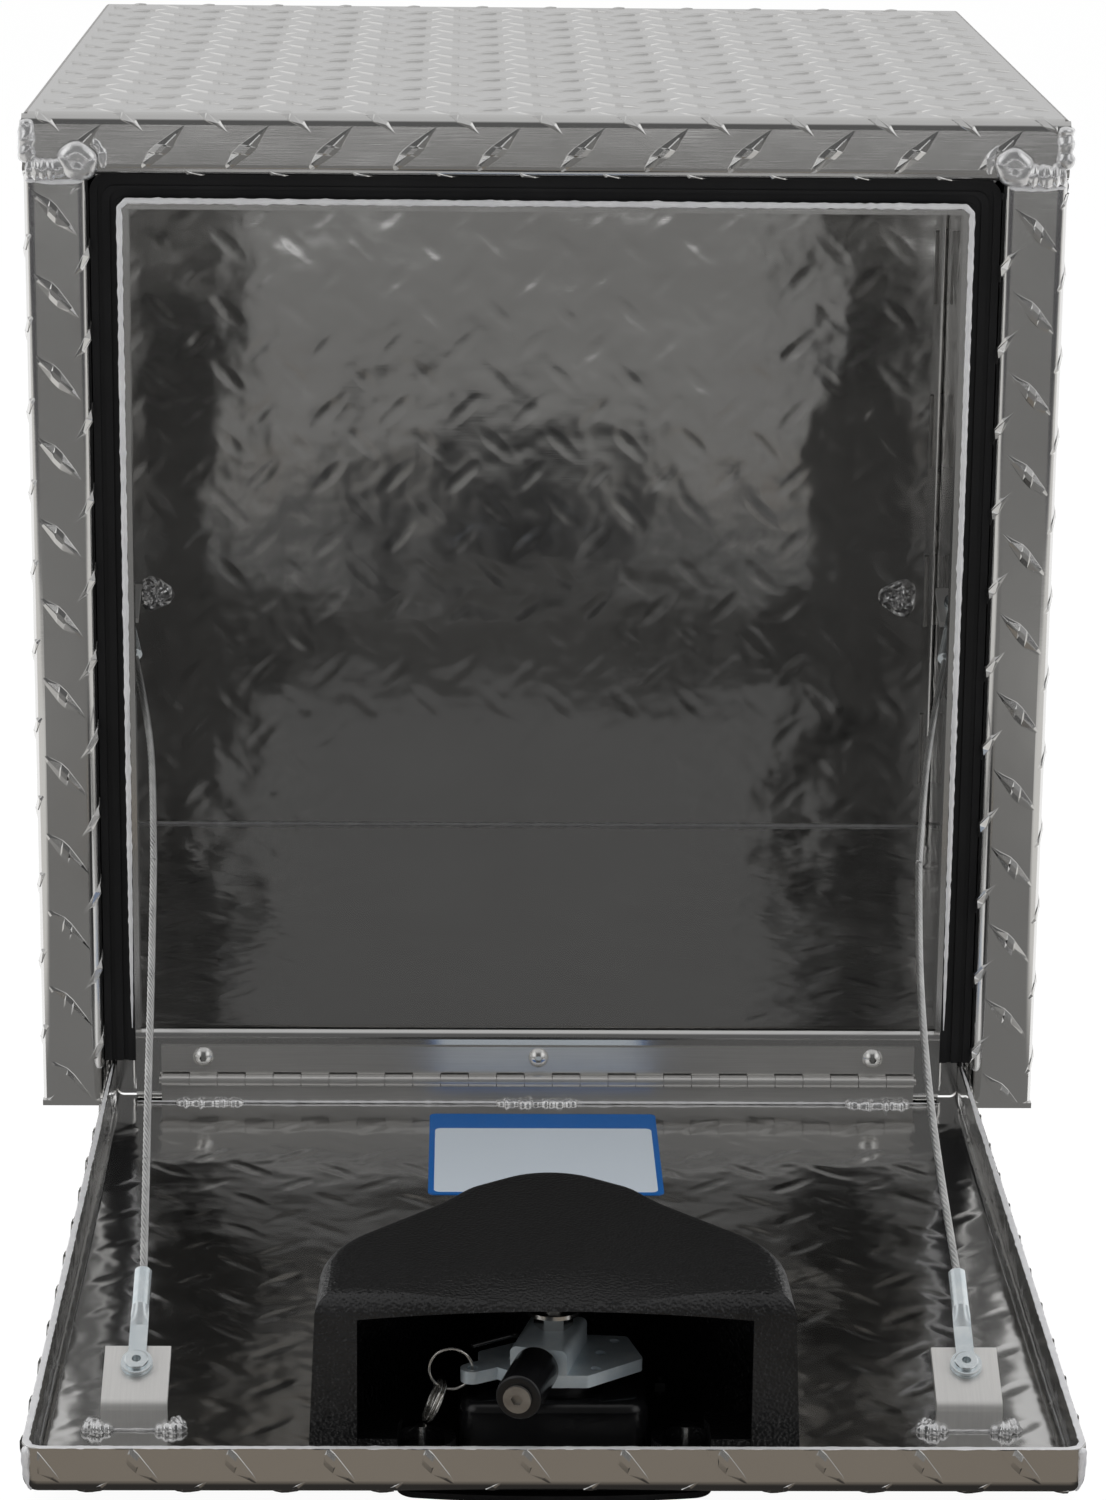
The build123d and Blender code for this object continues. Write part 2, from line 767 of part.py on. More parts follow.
def shroud_ear(side):
    """Raised foot beside the window with a lobe and an open pocket for its stud."""
    run = sorted((side * (shroud_half - ledge_inset), side * (shroud_half - shroud_wall / 2)))
    front_edge = shroud_wall / 2 - shroud_front
    ear = block(*run, front_edge, ledge_depth - shroud_front, 0, ledge_height)
    ear += Pos(side * ear_x, -ear_y, ear_height / 2) * Cylinder(ear_radius, ear_height)
    pocket = Pos(side * ear_x, -ear_y, shroud_wall + ledge_height / 2) * Cylinder(ear_pocket, ledge_height)
    pocket += block(
        side * ear_x - ear_pocket,
        side * ear_x + ear_pocket,
        -shroud_front - overrun,
        -ear_y,
        shroud_wall,
        shroud_wall + ledge_height,
    )
    ear -= pocket
    return ear - Pos(side * ear_x, -ear_y) * Cylinder(stud_radius + hole_play, 4 * shroud_wall)


def latch_shroud():
    """Cover with its window, rolled brow and two ears."""
    cover = shroud_form(0, shroud_height)
    hollow = shroud_form(shroud_wall, shroud_height - shroud_wall)
    hollow &= block(
        -shroud_half, shroud_half, -shroud_front + shroud_wall, 0, 0, shroud_height
    )
    brow = brow_cutter()
    cover = cover - brow - (hollow - Pos(0, 0, -shroud_wall) * brow)
    arch = ThreePointArc(
        (-window_half, window_height), (0, window_height + window_arch), (window_half, window_height)
    )
    frame = Polyline((window_half, window_height), (window_half, 0), (-window_half, 0), (-window_half, window_height))
    window = make_face(Wire([*arch.edges(), *frame.edges()]))
    window = extrude(Plane.XZ * window, amount=2 * shroud_wall, both=True)
    cover -= Pos(0, -shroud_front, 0) * window
    return cover + shroud_ear(-1) + shroud_ear(1)


def shroud_studs():
    """Studs welded on the skin that hold the cover's ears."""
    stud = Pos(0, 0, stud_height / 2) * Cylinder(stud_radius, stud_height)
    return [Pos(side * ear_x, -ear_y) * stud for side in (-1, 1)]


# Latch: recessed dish, T-handle, spindle, cam plate and striker roller

dish_wall = 2.5
dish_top = 21.0
dish_flange_half = 59.0
dish_flange_front = 56.0
dish_flange_rear = 50.0
dish_flange_far = latch_y + dish_flange_front
dish_flange_near = latch_y - dish_flange_rear
dish_flange = 2.5
dish_seal = 0.8
dish_screw_x = 43.0
dish_screw_rear = 40.0
dish_screw_front = 6.0
dish_screw_near = latch_y - dish_screw_rear
dish_screw_far = latch_y + dish_screw_front
dish_screw_radius = 2.0
dish_screw_head = 3.8
spindle_radius = 5.0
boss_radius = 19.0
boss_height = 3.0
disc_radius = 20.0
disc_thickness = 0.8
cam_bottom = 27.0
cam_thickness = 5.0
cam_channel_half = 11.0
cam_channel_tail = 10.0
cam_channel_nose = 24.0
cam_channel_top = 42.0
cam_channel_wall = 2.5
top_washer_radius = 11.0
top_washer_thickness = 1.6
top_nut_across = 13.0
top_nut_height = 6.0
roller_yaw = 14.5
roller_radius = 8.75
roller_start = 27.0
roller_length = 29.0
roller_axis = 35.5
roller_pin_radius = 3.2
roller_head_radius = 5.3
roller_head = 1.6
roller_socket_across = 4.0
handle_half = 22.0
handle_width = 13.0
handle_height = 13.0
handle_gap = 1.5
lock_radius = 4.5
lock_height = 6.0
keyway_width = 1.2
keyway_length = 6.0


def dish_plan(inset, z):
    """Rounded plan of the dish at height z."""
    plan = RectangleRounded(
        2 * (dish_half - inset), dish_far - dish_near - 2 * inset, dish_corner - inset
    )
    return Pos(0, -(dish_near + dish_far) / 2, z) * plan


def latch_dish():
    """Dish pressed up through the skin, its flange outside with a bowed free edge."""
    low = -sheet - dish_seal - dish_flange
    cup = extrude(dish_plan(0, -sheet - dish_seal), amount=dish_top + sheet + dish_seal)
    cup = fillet(cup.faces().sort_by(Axis.Z)[-1].edges(), dish_wall * 2)
    bow = (dish_flange_far - dish_far) / 6
    side = dish_flange_far - bow
    edge = ThreePointArc((-dish_flange_half, -side), (0, -dish_flange_far), (dish_flange_half, -side))
    rest = Polyline(
        (dish_flange_half, -side),
        (dish_flange_half, -dish_flange_near),
        (-dish_flange_half, -dish_flange_near),
        (-dish_flange_half, -side),
    )
    plate = make_face(Wire([*edge.edges(), *rest.edges()]))
    plate = fillet(plate.vertices(), dish_corner)
    plate = extrude(Pos(0, 0, low) * plate, amount=dish_flange)
    hollow = extrude(dish_plan(dish_wall, low), amount=dish_top - dish_wall - low)
    hollow = fillet(hollow.faces().sort_by(Axis.Z)[-1].edges(), dish_wall)
    dish = cup + plate - hollow
    dish -= Pos(0, -latch_y, dish_top) * Cylinder(spindle_radius + fit, 4 * dish_wall)
    for x in (-dish_screw_x, dish_screw_x):
        for y in (dish_screw_near, dish_screw_far):
            dish -= Pos(x, -y, low) * Cylinder(dish_screw_radius + hole_play, 4 * dish_flange)
    return dish


def dish_gasket():
    """Thin seal between the dish's flange and the skin."""
    length = dish_flange_far - dish_flange_near - 4 * dish_wall
    middle = (dish_flange_far + dish_flange_near) / 2
    width = 2 * (dish_flange_half - dish_wall)
    plan = Pos(0, -middle) * RectangleRounded(width, length, dish_corner - dish_wall)
    seal = extrude(Pos(0, 0, -sheet - dish_seal) * plan, amount=dish_seal)
    seal -= extrude(dish_plan(-fit, -sheet - 2 * dish_seal), amount=4 * dish_seal)
    for x in (-dish_screw_x, dish_screw_x):
        for y in (dish_screw_near, dish_screw_far):
            seal -= Pos(x, -y, -sheet) * Cylinder(dish_screw_radius + hole_play, 4 * dish_seal)
    return seal


def dish_screws():
    """Screws up through the flange, seal and skin."""
    low = -sheet - dish_seal - dish_flange
    length = sheet + dish_seal + dish_flange + 2 * dish_screw_radius
    screw = socket_screw(dish_screw_head, dish_screw_radius, dish_screw_radius, length, dish_screw_radius)
    return [
        Pos(x, -y, low) * screw
        for x in (-dish_screw_x, dish_screw_x)
        for y in (dish_screw_near, dish_screw_far)
    ]


def dish_nuts():
    """Nuts of the dish screws, on the skin's inner face."""
    nut = hex_nut(3.5 * dish_screw_radius, dish_screw_radius, dish_screw_radius + pin_play)
    return [
        Pos(x, -y) * nut
        for x in (-dish_screw_x, dish_screw_x)
        for y in (dish_screw_near, dish_screw_far)
    ]


def t_handle():
    """T-bar turned inside the dish, bored for the lock plug."""
    top = dish_top - dish_wall - handle_gap
    bar = extrude(
        Pos(0, -latch_y, top - handle_height) * RectangleRounded(2 * handle_half, handle_width, handle_width / 3),
        amount=handle_height,
    )
    bar = fillet(bar.faces().sort_by(Axis.Z)[0].edges(), handle_width / 6)
    bore = Pos(0, -latch_y, top - handle_height + lock_height / 2) * Cylinder(lock_radius + pin_play, lock_height)
    return bar - bore


def lock_plug():
    """Key plug in the T-bar with its keyway."""
    top = dish_top - dish_wall - handle_gap
    foot = top - handle_height
    plug = Pos(0, -latch_y, foot + (lock_height - fit) / 2) * Cylinder(lock_radius, lock_height - fit)
    slot = Pos(0, -latch_y, foot) * Box(keyway_width, keyway_length, lock_height)
    return plug - slot


def spindle():
    """Spindle from the T-bar up through the dish, boss and cam plate."""
    foot = dish_top - dish_wall - handle_gap
    head = cam_channel_top + top_nut_height + 2 * top_washer_thickness
    return Pos(0, -latch_y, (foot + head) / 2) * Cylinder(spindle_radius, head - foot)


def latch_boss():
    """Black bearing boss on top of the dish."""
    boss = Pos(0, -latch_y, dish_top + boss_height / 2) * Cylinder(boss_radius, boss_height)
    return boss - Pos(0, -latch_y, dish_top) * Cylinder(spindle_radius + fit, 4 * boss_height)


def spring_disc():
    """Thin bright disc between the boss and the cam plate, crowned by a spacer."""
    base = dish_top + boss_height + fit
    disc = Pos(0, -latch_y, base + disc_thickness / 2) * Cylinder(disc_radius, disc_thickness)
    spacer_height = cam_bottom - base - disc_thickness
    spacer = Pos(0, -latch_y, base + disc_thickness + spacer_height / 2) * Cylinder(boss_radius / 2, spacer_height)
    return disc + spacer - Pos(0, -latch_y, base) * Cylinder(spindle_radius + pin_play, 8 * boss_height)


cam_outline_shares = [
    (-0.78, 0.50),
    (-0.30, 1.02),
    (0.36, 1.02),
    (0.95, 0.36),
    (0.80, -0.50),
    (0.36, -0.56),
    (-0.20, -0.42),
    (-0.80, 0.10),
]
cam_reach = 25.0
cam_lobe_reach = 36.0
cam_hole_radius = 1.9
ring_hole_radius = 2.2
ring_hole_x = -31.0
ring_hole_reach = 18.0
ring_hole_y = latch_y + ring_hole_reach
cam_hole_shares = [(0.50, 0.10), (0.66, -0.22), (-0.42, 0.26), (0.44, 0.52)]


def cam_plate():
    """Fan-shaped cam plate with its lobes and holes."""
    points = [(x * cam_lobe_reach, -latch_y - y * cam_reach) for x, y in cam_outline_shares]
    plan = make_face(Polyline(*points, close=True))
    plan = fillet(plan.vertices(), cam_thickness / 2)
    plate = extrude(Pos(0, 0, cam_bottom) * plan, amount=cam_thickness)
    lobe = Pos(ring_hole_x, -ring_hole_y, cam_bottom + cam_thickness / 2)
    arm = Pos(ring_hole_x / 2, -(ring_hole_y + latch_y) / 2, cam_bottom + cam_thickness / 2)
    length = hypot(ring_hole_x, ring_hole_y - latch_y)
    turn = degrees(atan2(latch_y - ring_hole_y, ring_hole_x))
    plate += arm * Rot(0, 0, turn) * Box(length, 4 * ring_hole_radius, cam_thickness)
    plate += lobe * Cylinder(2 * ring_hole_radius, cam_thickness)
    plate -= lobe * Cylinder(ring_hole_radius, 4 * cam_thickness)
    relief = Pos(0, 0, roller_start + roller_length / 2) * Cylinder(roller_radius + fit, roller_length + 2 * fit)
    plate -= roller_place() * relief
    for x, y in cam_hole_shares:
        place = Pos(x * cam_lobe_reach, -latch_y - y * cam_lobe_reach, cam_bottom)
        plate -= place * Cylinder(cam_hole_radius, 4 * cam_thickness)
    return plate - Pos(0, -latch_y, cam_bottom) * Cylinder(spindle_radius + pin_play, 4 * cam_thickness)


def cam_channel():
    """Raised channel on the cam plate that carries the roller pin."""
    foot = cam_bottom + cam_thickness
    body = block(
        -cam_channel_half, cam_channel_half, -cam_channel_nose, cam_channel_tail, foot, cam_channel_top
    )
    body = fillet(body.edges().filter_by(Axis.Y).group_by(Axis.Z)[-1], cam_channel_wall)
    hollow = block(
        cam_channel_wall - cam_channel_half,
        cam_channel_half - cam_channel_wall,
        cam_channel_wall - cam_channel_nose,
        overrun + cam_channel_tail,
        foot,
        cam_channel_top - cam_channel_wall,
    )
    body -= hollow
    body -= Pos(0, 0, foot) * Cylinder(spindle_radius + pin_play, 8 * cam_thickness)
    body = Pos(0, -latch_y) * Rot(0, 0, -roller_yaw) * body
    return body - roller_place() * Cylinder(roller_pin_radius + pin_play, 8 * roller_radius)


def roller_place():
    """Frame on the spindle axis at the roller's height, Z along the roller."""
    yaw = radians(roller_yaw)
    return Plane((0, -latch_y, roller_axis), z_dir=(-sin(yaw), -cos(yaw), 0)).location


def roller_pin():
    """Shouldered pin of the roller, its socket head at the free end."""
    front = roller_start + roller_length
    back = cam_channel_nose - 2 * cam_channel_wall
    shank = Pos(0, 0, (back + front) / 2) * Cylinder(roller_pin_radius, front - back)
    head = Pos(0, 0, front + roller_head / 2 + fit) * Cylinder(roller_head_radius, roller_head)
    head += Pos(0, 0, front + fit / 2) * Cylinder(roller_pin_radius, fit)
    pin = shank + head
    socket = extrude(RegularPolygon(roller_socket_across / 2, 6, major_radius=False), amount=2 * roller_head)
    pin -= Pos(0, 0, front + fit) * socket
    return roller_place() * pin


def striker_roller():
    """Roller that rides behind the header, free to spin on its pin."""
    tube = Pos(0, 0, roller_start + roller_length / 2) * Cylinder(roller_radius, roller_length)
    tube = fillet(tube.edges(), roller_radius / 8)
    tube -= Pos(0, 0, roller_start) * Cylinder(roller_pin_radius + pin_play, 4 * roller_length)
    return roller_place() * tube


def top_washer():
    """Broad washer staked on the nut by the spindle's end."""
    ring = Pos(0, 0, top_washer_thickness / 2) * Cylinder(top_washer_radius, top_washer_thickness)
    ring -= Cylinder(spindle_radius + pin_play, 4 * top_washer_thickness)
    return Pos(0, -latch_y, cam_channel_top + top_nut_height) * ring


def top_nut():
    """Nut that holds the cam plate on the spindle."""
    nut = hex_nut(top_nut_across, top_nut_height, spindle_radius + pin_play)
    return Pos(0, -latch_y, cam_channel_top) * nut


# Key rings hung in the cam plate's left lobe, and the tie that keeps them

ring_radius = 8.2
ring_wire = 0.6
ring_hang = 0.1
ring_height = 31.5
split_ring_radius = 8.0
split_ring_wire = 0.75
split_ring_lean = 25.0
tie_radius = 0.9


def key_ring():
    """Ring threaded through the lobe's hole."""
    drop = cam_bottom + cam_thickness / 2 - ring_height
    reach = (ring_radius**2 - drop**2) ** (1 / 2)
    centre = (ring_hole_x - reach - ring_hang, -ring_hole_y, ring_height)
    return Pos(*centre) * Rot(90, 0, 0) * Torus(ring_radius, ring_wire)


def split_ring():
    """Doubled ring hanging from the first one."""
    drop = cam_bottom + cam_thickness / 2 - ring_height
    reach = (ring_radius**2 - drop**2) ** (1 / 2)
    lean = radians(split_ring_lean)
    hang = split_ring_radius - split_ring_wire - ring_wire - fit
    x = ring_hole_x - reach - ring_hang - (ring_radius + hang) * sin(lean)
    z = ring_height - ring_radius * cos(lean) - hang * cos(lean)
    coils = []
    for side in (-1, 1):
        shift = side * (split_ring_wire + fit / 6)
        placed = Pos(x, -ring_hole_y, z) * Rot(0, split_ring_lean, 0) * Pos(shift, 0, 0) * Rot(0, 90, 0)
        coils.append(placed * Torus(split_ring_radius, split_ring_wire))
    return coils


def key_tie():
    """Black tie from the channel's side towards the ring."""
    yaw = radians(roller_yaw)
    side = (cam_channel_half + tie_radius + pin_play + cam_thickness * sin(yaw)) / cos(yaw)
    start = Vector(-side, -latch_y - cam_thickness, cam_channel_top - cam_channel_wall)
    bend_point = Vector(ring_hole_x / 2, -latch_y - 2 * cam_thickness, cam_channel_top)
    end = Vector(ring_hole_x, -ring_hole_y, ring_height + ring_radius + 2 * ring_wire)
    path = FilletPolyline(start, bend_point, end, radius=cam_thickness)
    section = Plane(start, z_dir=bend_point - start) * Circle(tie_radius)
    return sweep(section, path=path)


def write_parts():
    """Write every node of the tool box."""
    os.makedirs("parts", exist_ok=True)
    right_side = side_panel()
    top = top_panel()
    save("right_side_panel", right_side)
    save("left_side_panel", mirrored(right_side))
    save("top_panel", top)
    save("floor_panel", floor_panel())
    save("back_panel", back_panel())
    right_corner = corner_weld((right_side, top))
    save("corner_welds", right_corner, mirrored(right_corner))
    save("top_seam_welds", top_seam(1), top_seam(-1))
    save("back_stitch_welds", *back_stitch_welds())
    save("back_weld_nuggets", weld_nugget(half_width - nugget_inset), weld_nugget(nugget_inset - half_width))
    save("door_gasket", door_gasket())
    save("hinge_box_leaf", hinge_box_leaf())
    save("hinge_pin", hinge_pin())
    save("hinge_screws", *hinge_screws())
    save("hinge_nuts", *hinge_nuts())
    save("hinge_door_leaf", door_frame * hinge_door_leaf())
    save("door_panel", door_frame * door_panel())
    save("hinge_leaf_welds", *[door_frame * weld for weld in leaf_welds()])
    save("blank_label", door_frame * blank_label())
    for name, side in (("left", -1), ("right", 1)):
        at_door = door_frame * Pos(side * bracket_x, 0, 0)
        save(f"{name}_door_bracket", at_door * door_bracket())
        save(f"{name}_bracket_welds", *[at_door * weld for weld in bracket_welds()])
        save(f"{name}_lower_terminal", at_door * rivet_seat() * eye_terminal())
        save(f"{name}_anchor_bracket", anchor_bracket() if side > 0 else mirrored(anchor_bracket()))
        upper = anchor_seat() * eye_terminal()
        save(f"{name}_upper_terminal", upper if side > 0 else mirrored(upper))
    seats = [door_frame * Pos(side * bracket_x, 0, 0) * rivet_seat() for side in (-1, 1)]
    save("lower_cable_washers", *[seat * cable_washer() for seat in seats])
    save("lower_cable_rivets", *[seat * cable_rivet() for seat in seats])
    upper_washer = anchor_seat() * cable_washer()
    upper_rivet = anchor_seat() * cable_rivet()
    save("upper_cable_washers", upper_washer, mirrored(upper_washer))
    save("upper_cable_rivets", upper_rivet, mirrored(upper_rivet))
    save("left_lower_cable", rope("left lower cable", cable_route(-1, left_lower_shares), 0))
    save("left_upper_cable", rope("left upper cable", cable_route(-1, left_upper_shares), -1))
    save("right_lower_cable", rope("right lower cable", cable_route(1, right_lower_shares), 0))
    save("right_upper_cable", rope("right upper cable", cable_route(1, right_upper_shares), -1))
    door_pieces = {
        "latch_shroud": [latch_shroud()],
        "shroud_studs": shroud_studs(),
        "latch_dish": [latch_dish()],
        "dish_gasket": [dish_gasket()],
        "dish_screws": dish_screws(),
        "dish_nuts": dish_nuts(),
        "latch_boss": [latch_boss()],
        "t_handle": [t_handle()],
        "lock_plug": [lock_plug()],
        "latch_spindle": [spindle()],
        "spring_disc": [spring_disc()],
        "cam_plate": [cam_plate()],
        "cam_channel": [cam_channel()],
        "roller_pin": [roller_pin()],
        "striker_roller": [striker_roller()],
        "top_washer": [top_washer()],
        "top_nut": [top_nut()],
        "key_ring": [key_ring()],
        "split_ring": split_ring(),
        "key_tie": [key_tie()],
    }
    for name, solids in door_pieces.items():
        save(name, *[door_frame * solid for solid in solids])


write_parts()
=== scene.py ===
import math

import bmesh
import bpy
import numpy as np
from mathutils import Matrix, Vector


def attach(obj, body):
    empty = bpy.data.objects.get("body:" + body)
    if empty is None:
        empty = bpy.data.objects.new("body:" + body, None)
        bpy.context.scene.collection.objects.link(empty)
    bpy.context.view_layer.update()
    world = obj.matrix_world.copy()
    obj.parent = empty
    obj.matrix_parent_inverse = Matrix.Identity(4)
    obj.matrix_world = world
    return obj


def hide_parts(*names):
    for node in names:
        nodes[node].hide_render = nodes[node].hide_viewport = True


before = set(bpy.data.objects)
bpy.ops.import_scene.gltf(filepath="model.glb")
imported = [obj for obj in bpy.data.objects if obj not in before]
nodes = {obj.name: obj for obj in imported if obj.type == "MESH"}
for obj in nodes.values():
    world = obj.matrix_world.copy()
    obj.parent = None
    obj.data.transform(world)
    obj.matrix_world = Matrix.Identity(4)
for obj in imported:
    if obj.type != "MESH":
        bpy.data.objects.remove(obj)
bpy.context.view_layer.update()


# Shell and door sheets: bright rolled aluminium tread plate, folded on a press brake and welded.
# The outer side is mill bright with fine rolling lines. The inner side is a wavy mirror that
# shows the lugs of the other side as faint dents.


class Wire:
    """One shader socket with arithmetic, so that a formula is written as one."""

    def __init__(self, tree, socket):
        self.tree = tree
        self.socket = socket

    def node(self, kind, inputs=(), output=0, **settings):
        made = self.tree.nodes.new(kind)
        for name, value in settings.items():
            setattr(made, name, value)
        for key, value in dict(inputs).items():
            if isinstance(value, Wire):
                self.tree.links.new(value.socket, made.inputs[key])
            else:
                made.inputs[key].default_value = value
        return Wire(self.tree, made.outputs[output])

    def maths(self, operation, *values):
        return self.node("ShaderNodeMath", enumerate(values), operation=operation)

    def __add__(self, other):
        return self.maths("ADD", self, other)

    def __sub__(self, other):
        return self.maths("SUBTRACT", self, other)

    def __mul__(self, other):
        return self.maths("MULTIPLY", self, other)

    def __truediv__(self, other):
        return self.maths("DIVIDE", self, other)

    def __radd__(self, other):
        return self.maths("ADD", other, self)

    def __rsub__(self, other):
        return self.maths("SUBTRACT", other, self)

    def __rmul__(self, other):
        return self.maths("MULTIPLY", other, self)

    def __gt__(self, other):
        return self.maths("GREATER_THAN", self, other)

    def __lt__(self, other):
        return self.maths("LESS_THAN", self, other)

    def __abs__(self):
        return self.maths("ABSOLUTE", self)

    def clamp(self):
        return self.node("ShaderNodeClamp", {0: self})

    def mix(self, low, high):
        """Colour between two others."""
        inputs = {0: self, 6: low, 7: high}
        return self.node("ShaderNodeMix", inputs, 2, data_type="RGBA")

    def noise(self, scale, detail=3.0, roughness=0.5):
        inputs = {"Vector": self, "Scale": scale, "Detail": detail, "Roughness": roughness}
        return self.node("ShaderNodeTexNoise", inputs)

    def stretch(self, x, y, z):
        return self.node("ShaderNodeVectorMath", {0: self, 1: (x, y, z)}, operation="MULTIPLY")

    def axis(self, index):
        return self.node("ShaderNodeSeparateXYZ", {0: self}, index)

    def bump(self, height, depth, normal=None):
        inputs = {"Height": height, "Distance": depth, "Strength": 1.0}
        if normal is not None:
            inputs["Normal"] = normal
        return self.node("ShaderNodeBump", inputs)


def new_look(name):
    """A new material: its shader and its Object coordinates."""
    look = bpy.data.materials.new(name)
    look.use_nodes = True
    tree = look.node_tree
    shader = tree.nodes["Principled BSDF"]
    place = Wire(tree, tree.nodes.new("ShaderNodeTexCoord").outputs["Object"])
    return look, shader, place


def finish_look(look, shader, constants, **inputs):
    """Sets the shader's constants and links what changes over the surface."""
    for name, value in constants.items():
        shader.inputs[name].default_value = value
    for name, value in inputs.items():
        look.node_tree.links.new(value.socket, shader.inputs[name.replace("_", " ")])
    return look


def dress(look, *names):
    """The material goes on CAD nodes."""
    for name in names:
        nodes[name].data.materials.clear()
        nodes[name].data.materials.append(look)


lug_pitch = 36.5
lug_long = 30.5
lug_wide = 6.8


def lug_field(u, v):
    """Soft height from 0 to 1 of the dents behind the lugs, at flat coordinates in metres."""
    total = None
    whole_pitches = 200
    diagonal = lug_pitch / math.sqrt(2)
    for shift, turn in ((0.0, -1), (0.5, 1)):
        a = u.maths("FRACT", u * (1000 / lug_pitch) + shift + whole_pitches) - 0.5
        b = v.maths("FRACT", v * (1000 / lug_pitch) + shift + whole_pitches) - 0.5
        along = (a + turn * b) * (diagonal / (lug_long / 2))
        across = (a - turn * b) * (diagonal / (lug_wide * 0.75))
        hill = (1 - along * along - across * across).clamp()
        hill = hill * hill
        total = hill if total is None else total + hill
    return total


def sheet_look(name, inside, dent):
    """Tread plate, with its smooth side where inside(x, y, z) says."""
    look, shader, place = new_look(name)
    x, y, z = (place.axis(index) for index in range(3))
    facing = Wire(place.tree, place.tree.nodes["Texture Coordinate"].outputs["Normal"])
    on_side = abs(facing.axis(0)) > 0.5
    on_level = abs(facing.axis(2)) > 0.5
    u = x + on_side * (y - x)
    v = z + on_level * (y - z)
    smooth = inside(x, y, z)
    lugs = lug_field(u, v)
    broad = place.noise(9.0, 2.0)
    ripple = place.noise(34.0, 2.0)
    streak = place.stretch(1, 1, 24).noise(60.0, 4.0)
    stain = place.noise(16.0, 5.0, 0.62)
    scratch = place.stretch(8, 8, 260).noise(14.0, 2.0)
    hammered = place.noise(75.0, 1.0)
    wavy = broad * 3.0 + ripple * 0.70 + hammered * 0.14 - lugs * dent
    flat = broad * 0.5 + ripple * 0.10
    height = smooth * wavy + (1 - smooth) * flat
    normal = place.bump(height, 0.001)
    normal = place.bump(streak, 0.00001, normal)
    rough = 0.09 + stain * 0.07 + scratch * 0.03 - smooth * 0.01
    tint = (0.25 + stain * 0.6).clamp().mix((0.70, 0.69, 0.68, 1), (0.84, 0.84, 0.83, 1))
    return finish_look(look, shader, {"Metallic": 1.0}, Base_Color=tint, Roughness=rough, Normal=normal)


def shell_inside(x, y, z):
    """One within the box's outer faces and behind its folded front."""
    side, front, back = 0.2268, -0.2102, 0.2252
    top, under = -0.0018, -0.4554
    return (abs(x) < side) * (y > front) * (y < back) * (z < top) * (z > under)


def door_inside(x, y, z):
    """One within the door's outer faces."""
    side, skin, free_edge = 0.1963, -0.4590, -0.6398
    return (abs(x) < side) * (z > skin) * (y > free_edge)


shell_sheet = sheet_look("shell_tread_plate", shell_inside, 0.11)
door_sheet = sheet_look("door_tread_plate", door_inside, 0.15)
dress(shell_sheet, "left_side_panel", "right_side_panel", "top_panel", "floor_panel", "back_panel")
dress(door_sheet, "door_panel")


# Tread lugs: rolled into the sheet before it is folded, so the pattern runs round the bends.
# Each lug is a long raised diamond with a small flat on its crest. Their columns alternate in
# lean, and they are cut off at the sheet's edges.


def lug_mesh():
    """One lug along X, in millimetres: steep flanks, a low ridge and a skewed flat in the middle."""
    mesh = bpy.data.meshes.new("lug")
    form = bmesh.new()
    rows = []
    # Share of the half length, height at the foot's edge, height of the crest, half width of the crest.
    shape = (
        (-1, 0.02, 0.02, 0.1),
        (-0.62, 0.42, 0.70, 0.25),
        (-0.19, 0.50, 0.86, 0.3),
        (-0.13, 0.50, 1.12, 1.0),
    )
    shape += tuple((-share, edge, crest, flat) for share, edge, crest, flat in reversed(shape))
    for share, edge, crest, flat in shape:
        half = lug_wide / 2 * (1 - abs(share) ** 1.3) + 0.06
        foot = half - min(0.24, half / 2)
        flat = min(flat, foot * 0.7)
        profile = ((-half, -0.1), (-foot, edge), (-flat, crest), (flat, crest), (foot, edge), (half, -0.1))
        skew = 0.8 if abs(share) < 0.2 else 0.0
        rows.append([form.verts.new((share * lug_long / 2 - skew * y, y, z)) for y, z in profile])
    for here, there in zip(rows, rows[1:]):
        for index in range(5):
            form.faces.new((here[index], there[index], there[index + 1], here[index + 1]))
    form.to_mesh(mesh)
    form.free()
    return mesh


lug = bpy.data.objects.new("lug_master", lug_mesh())


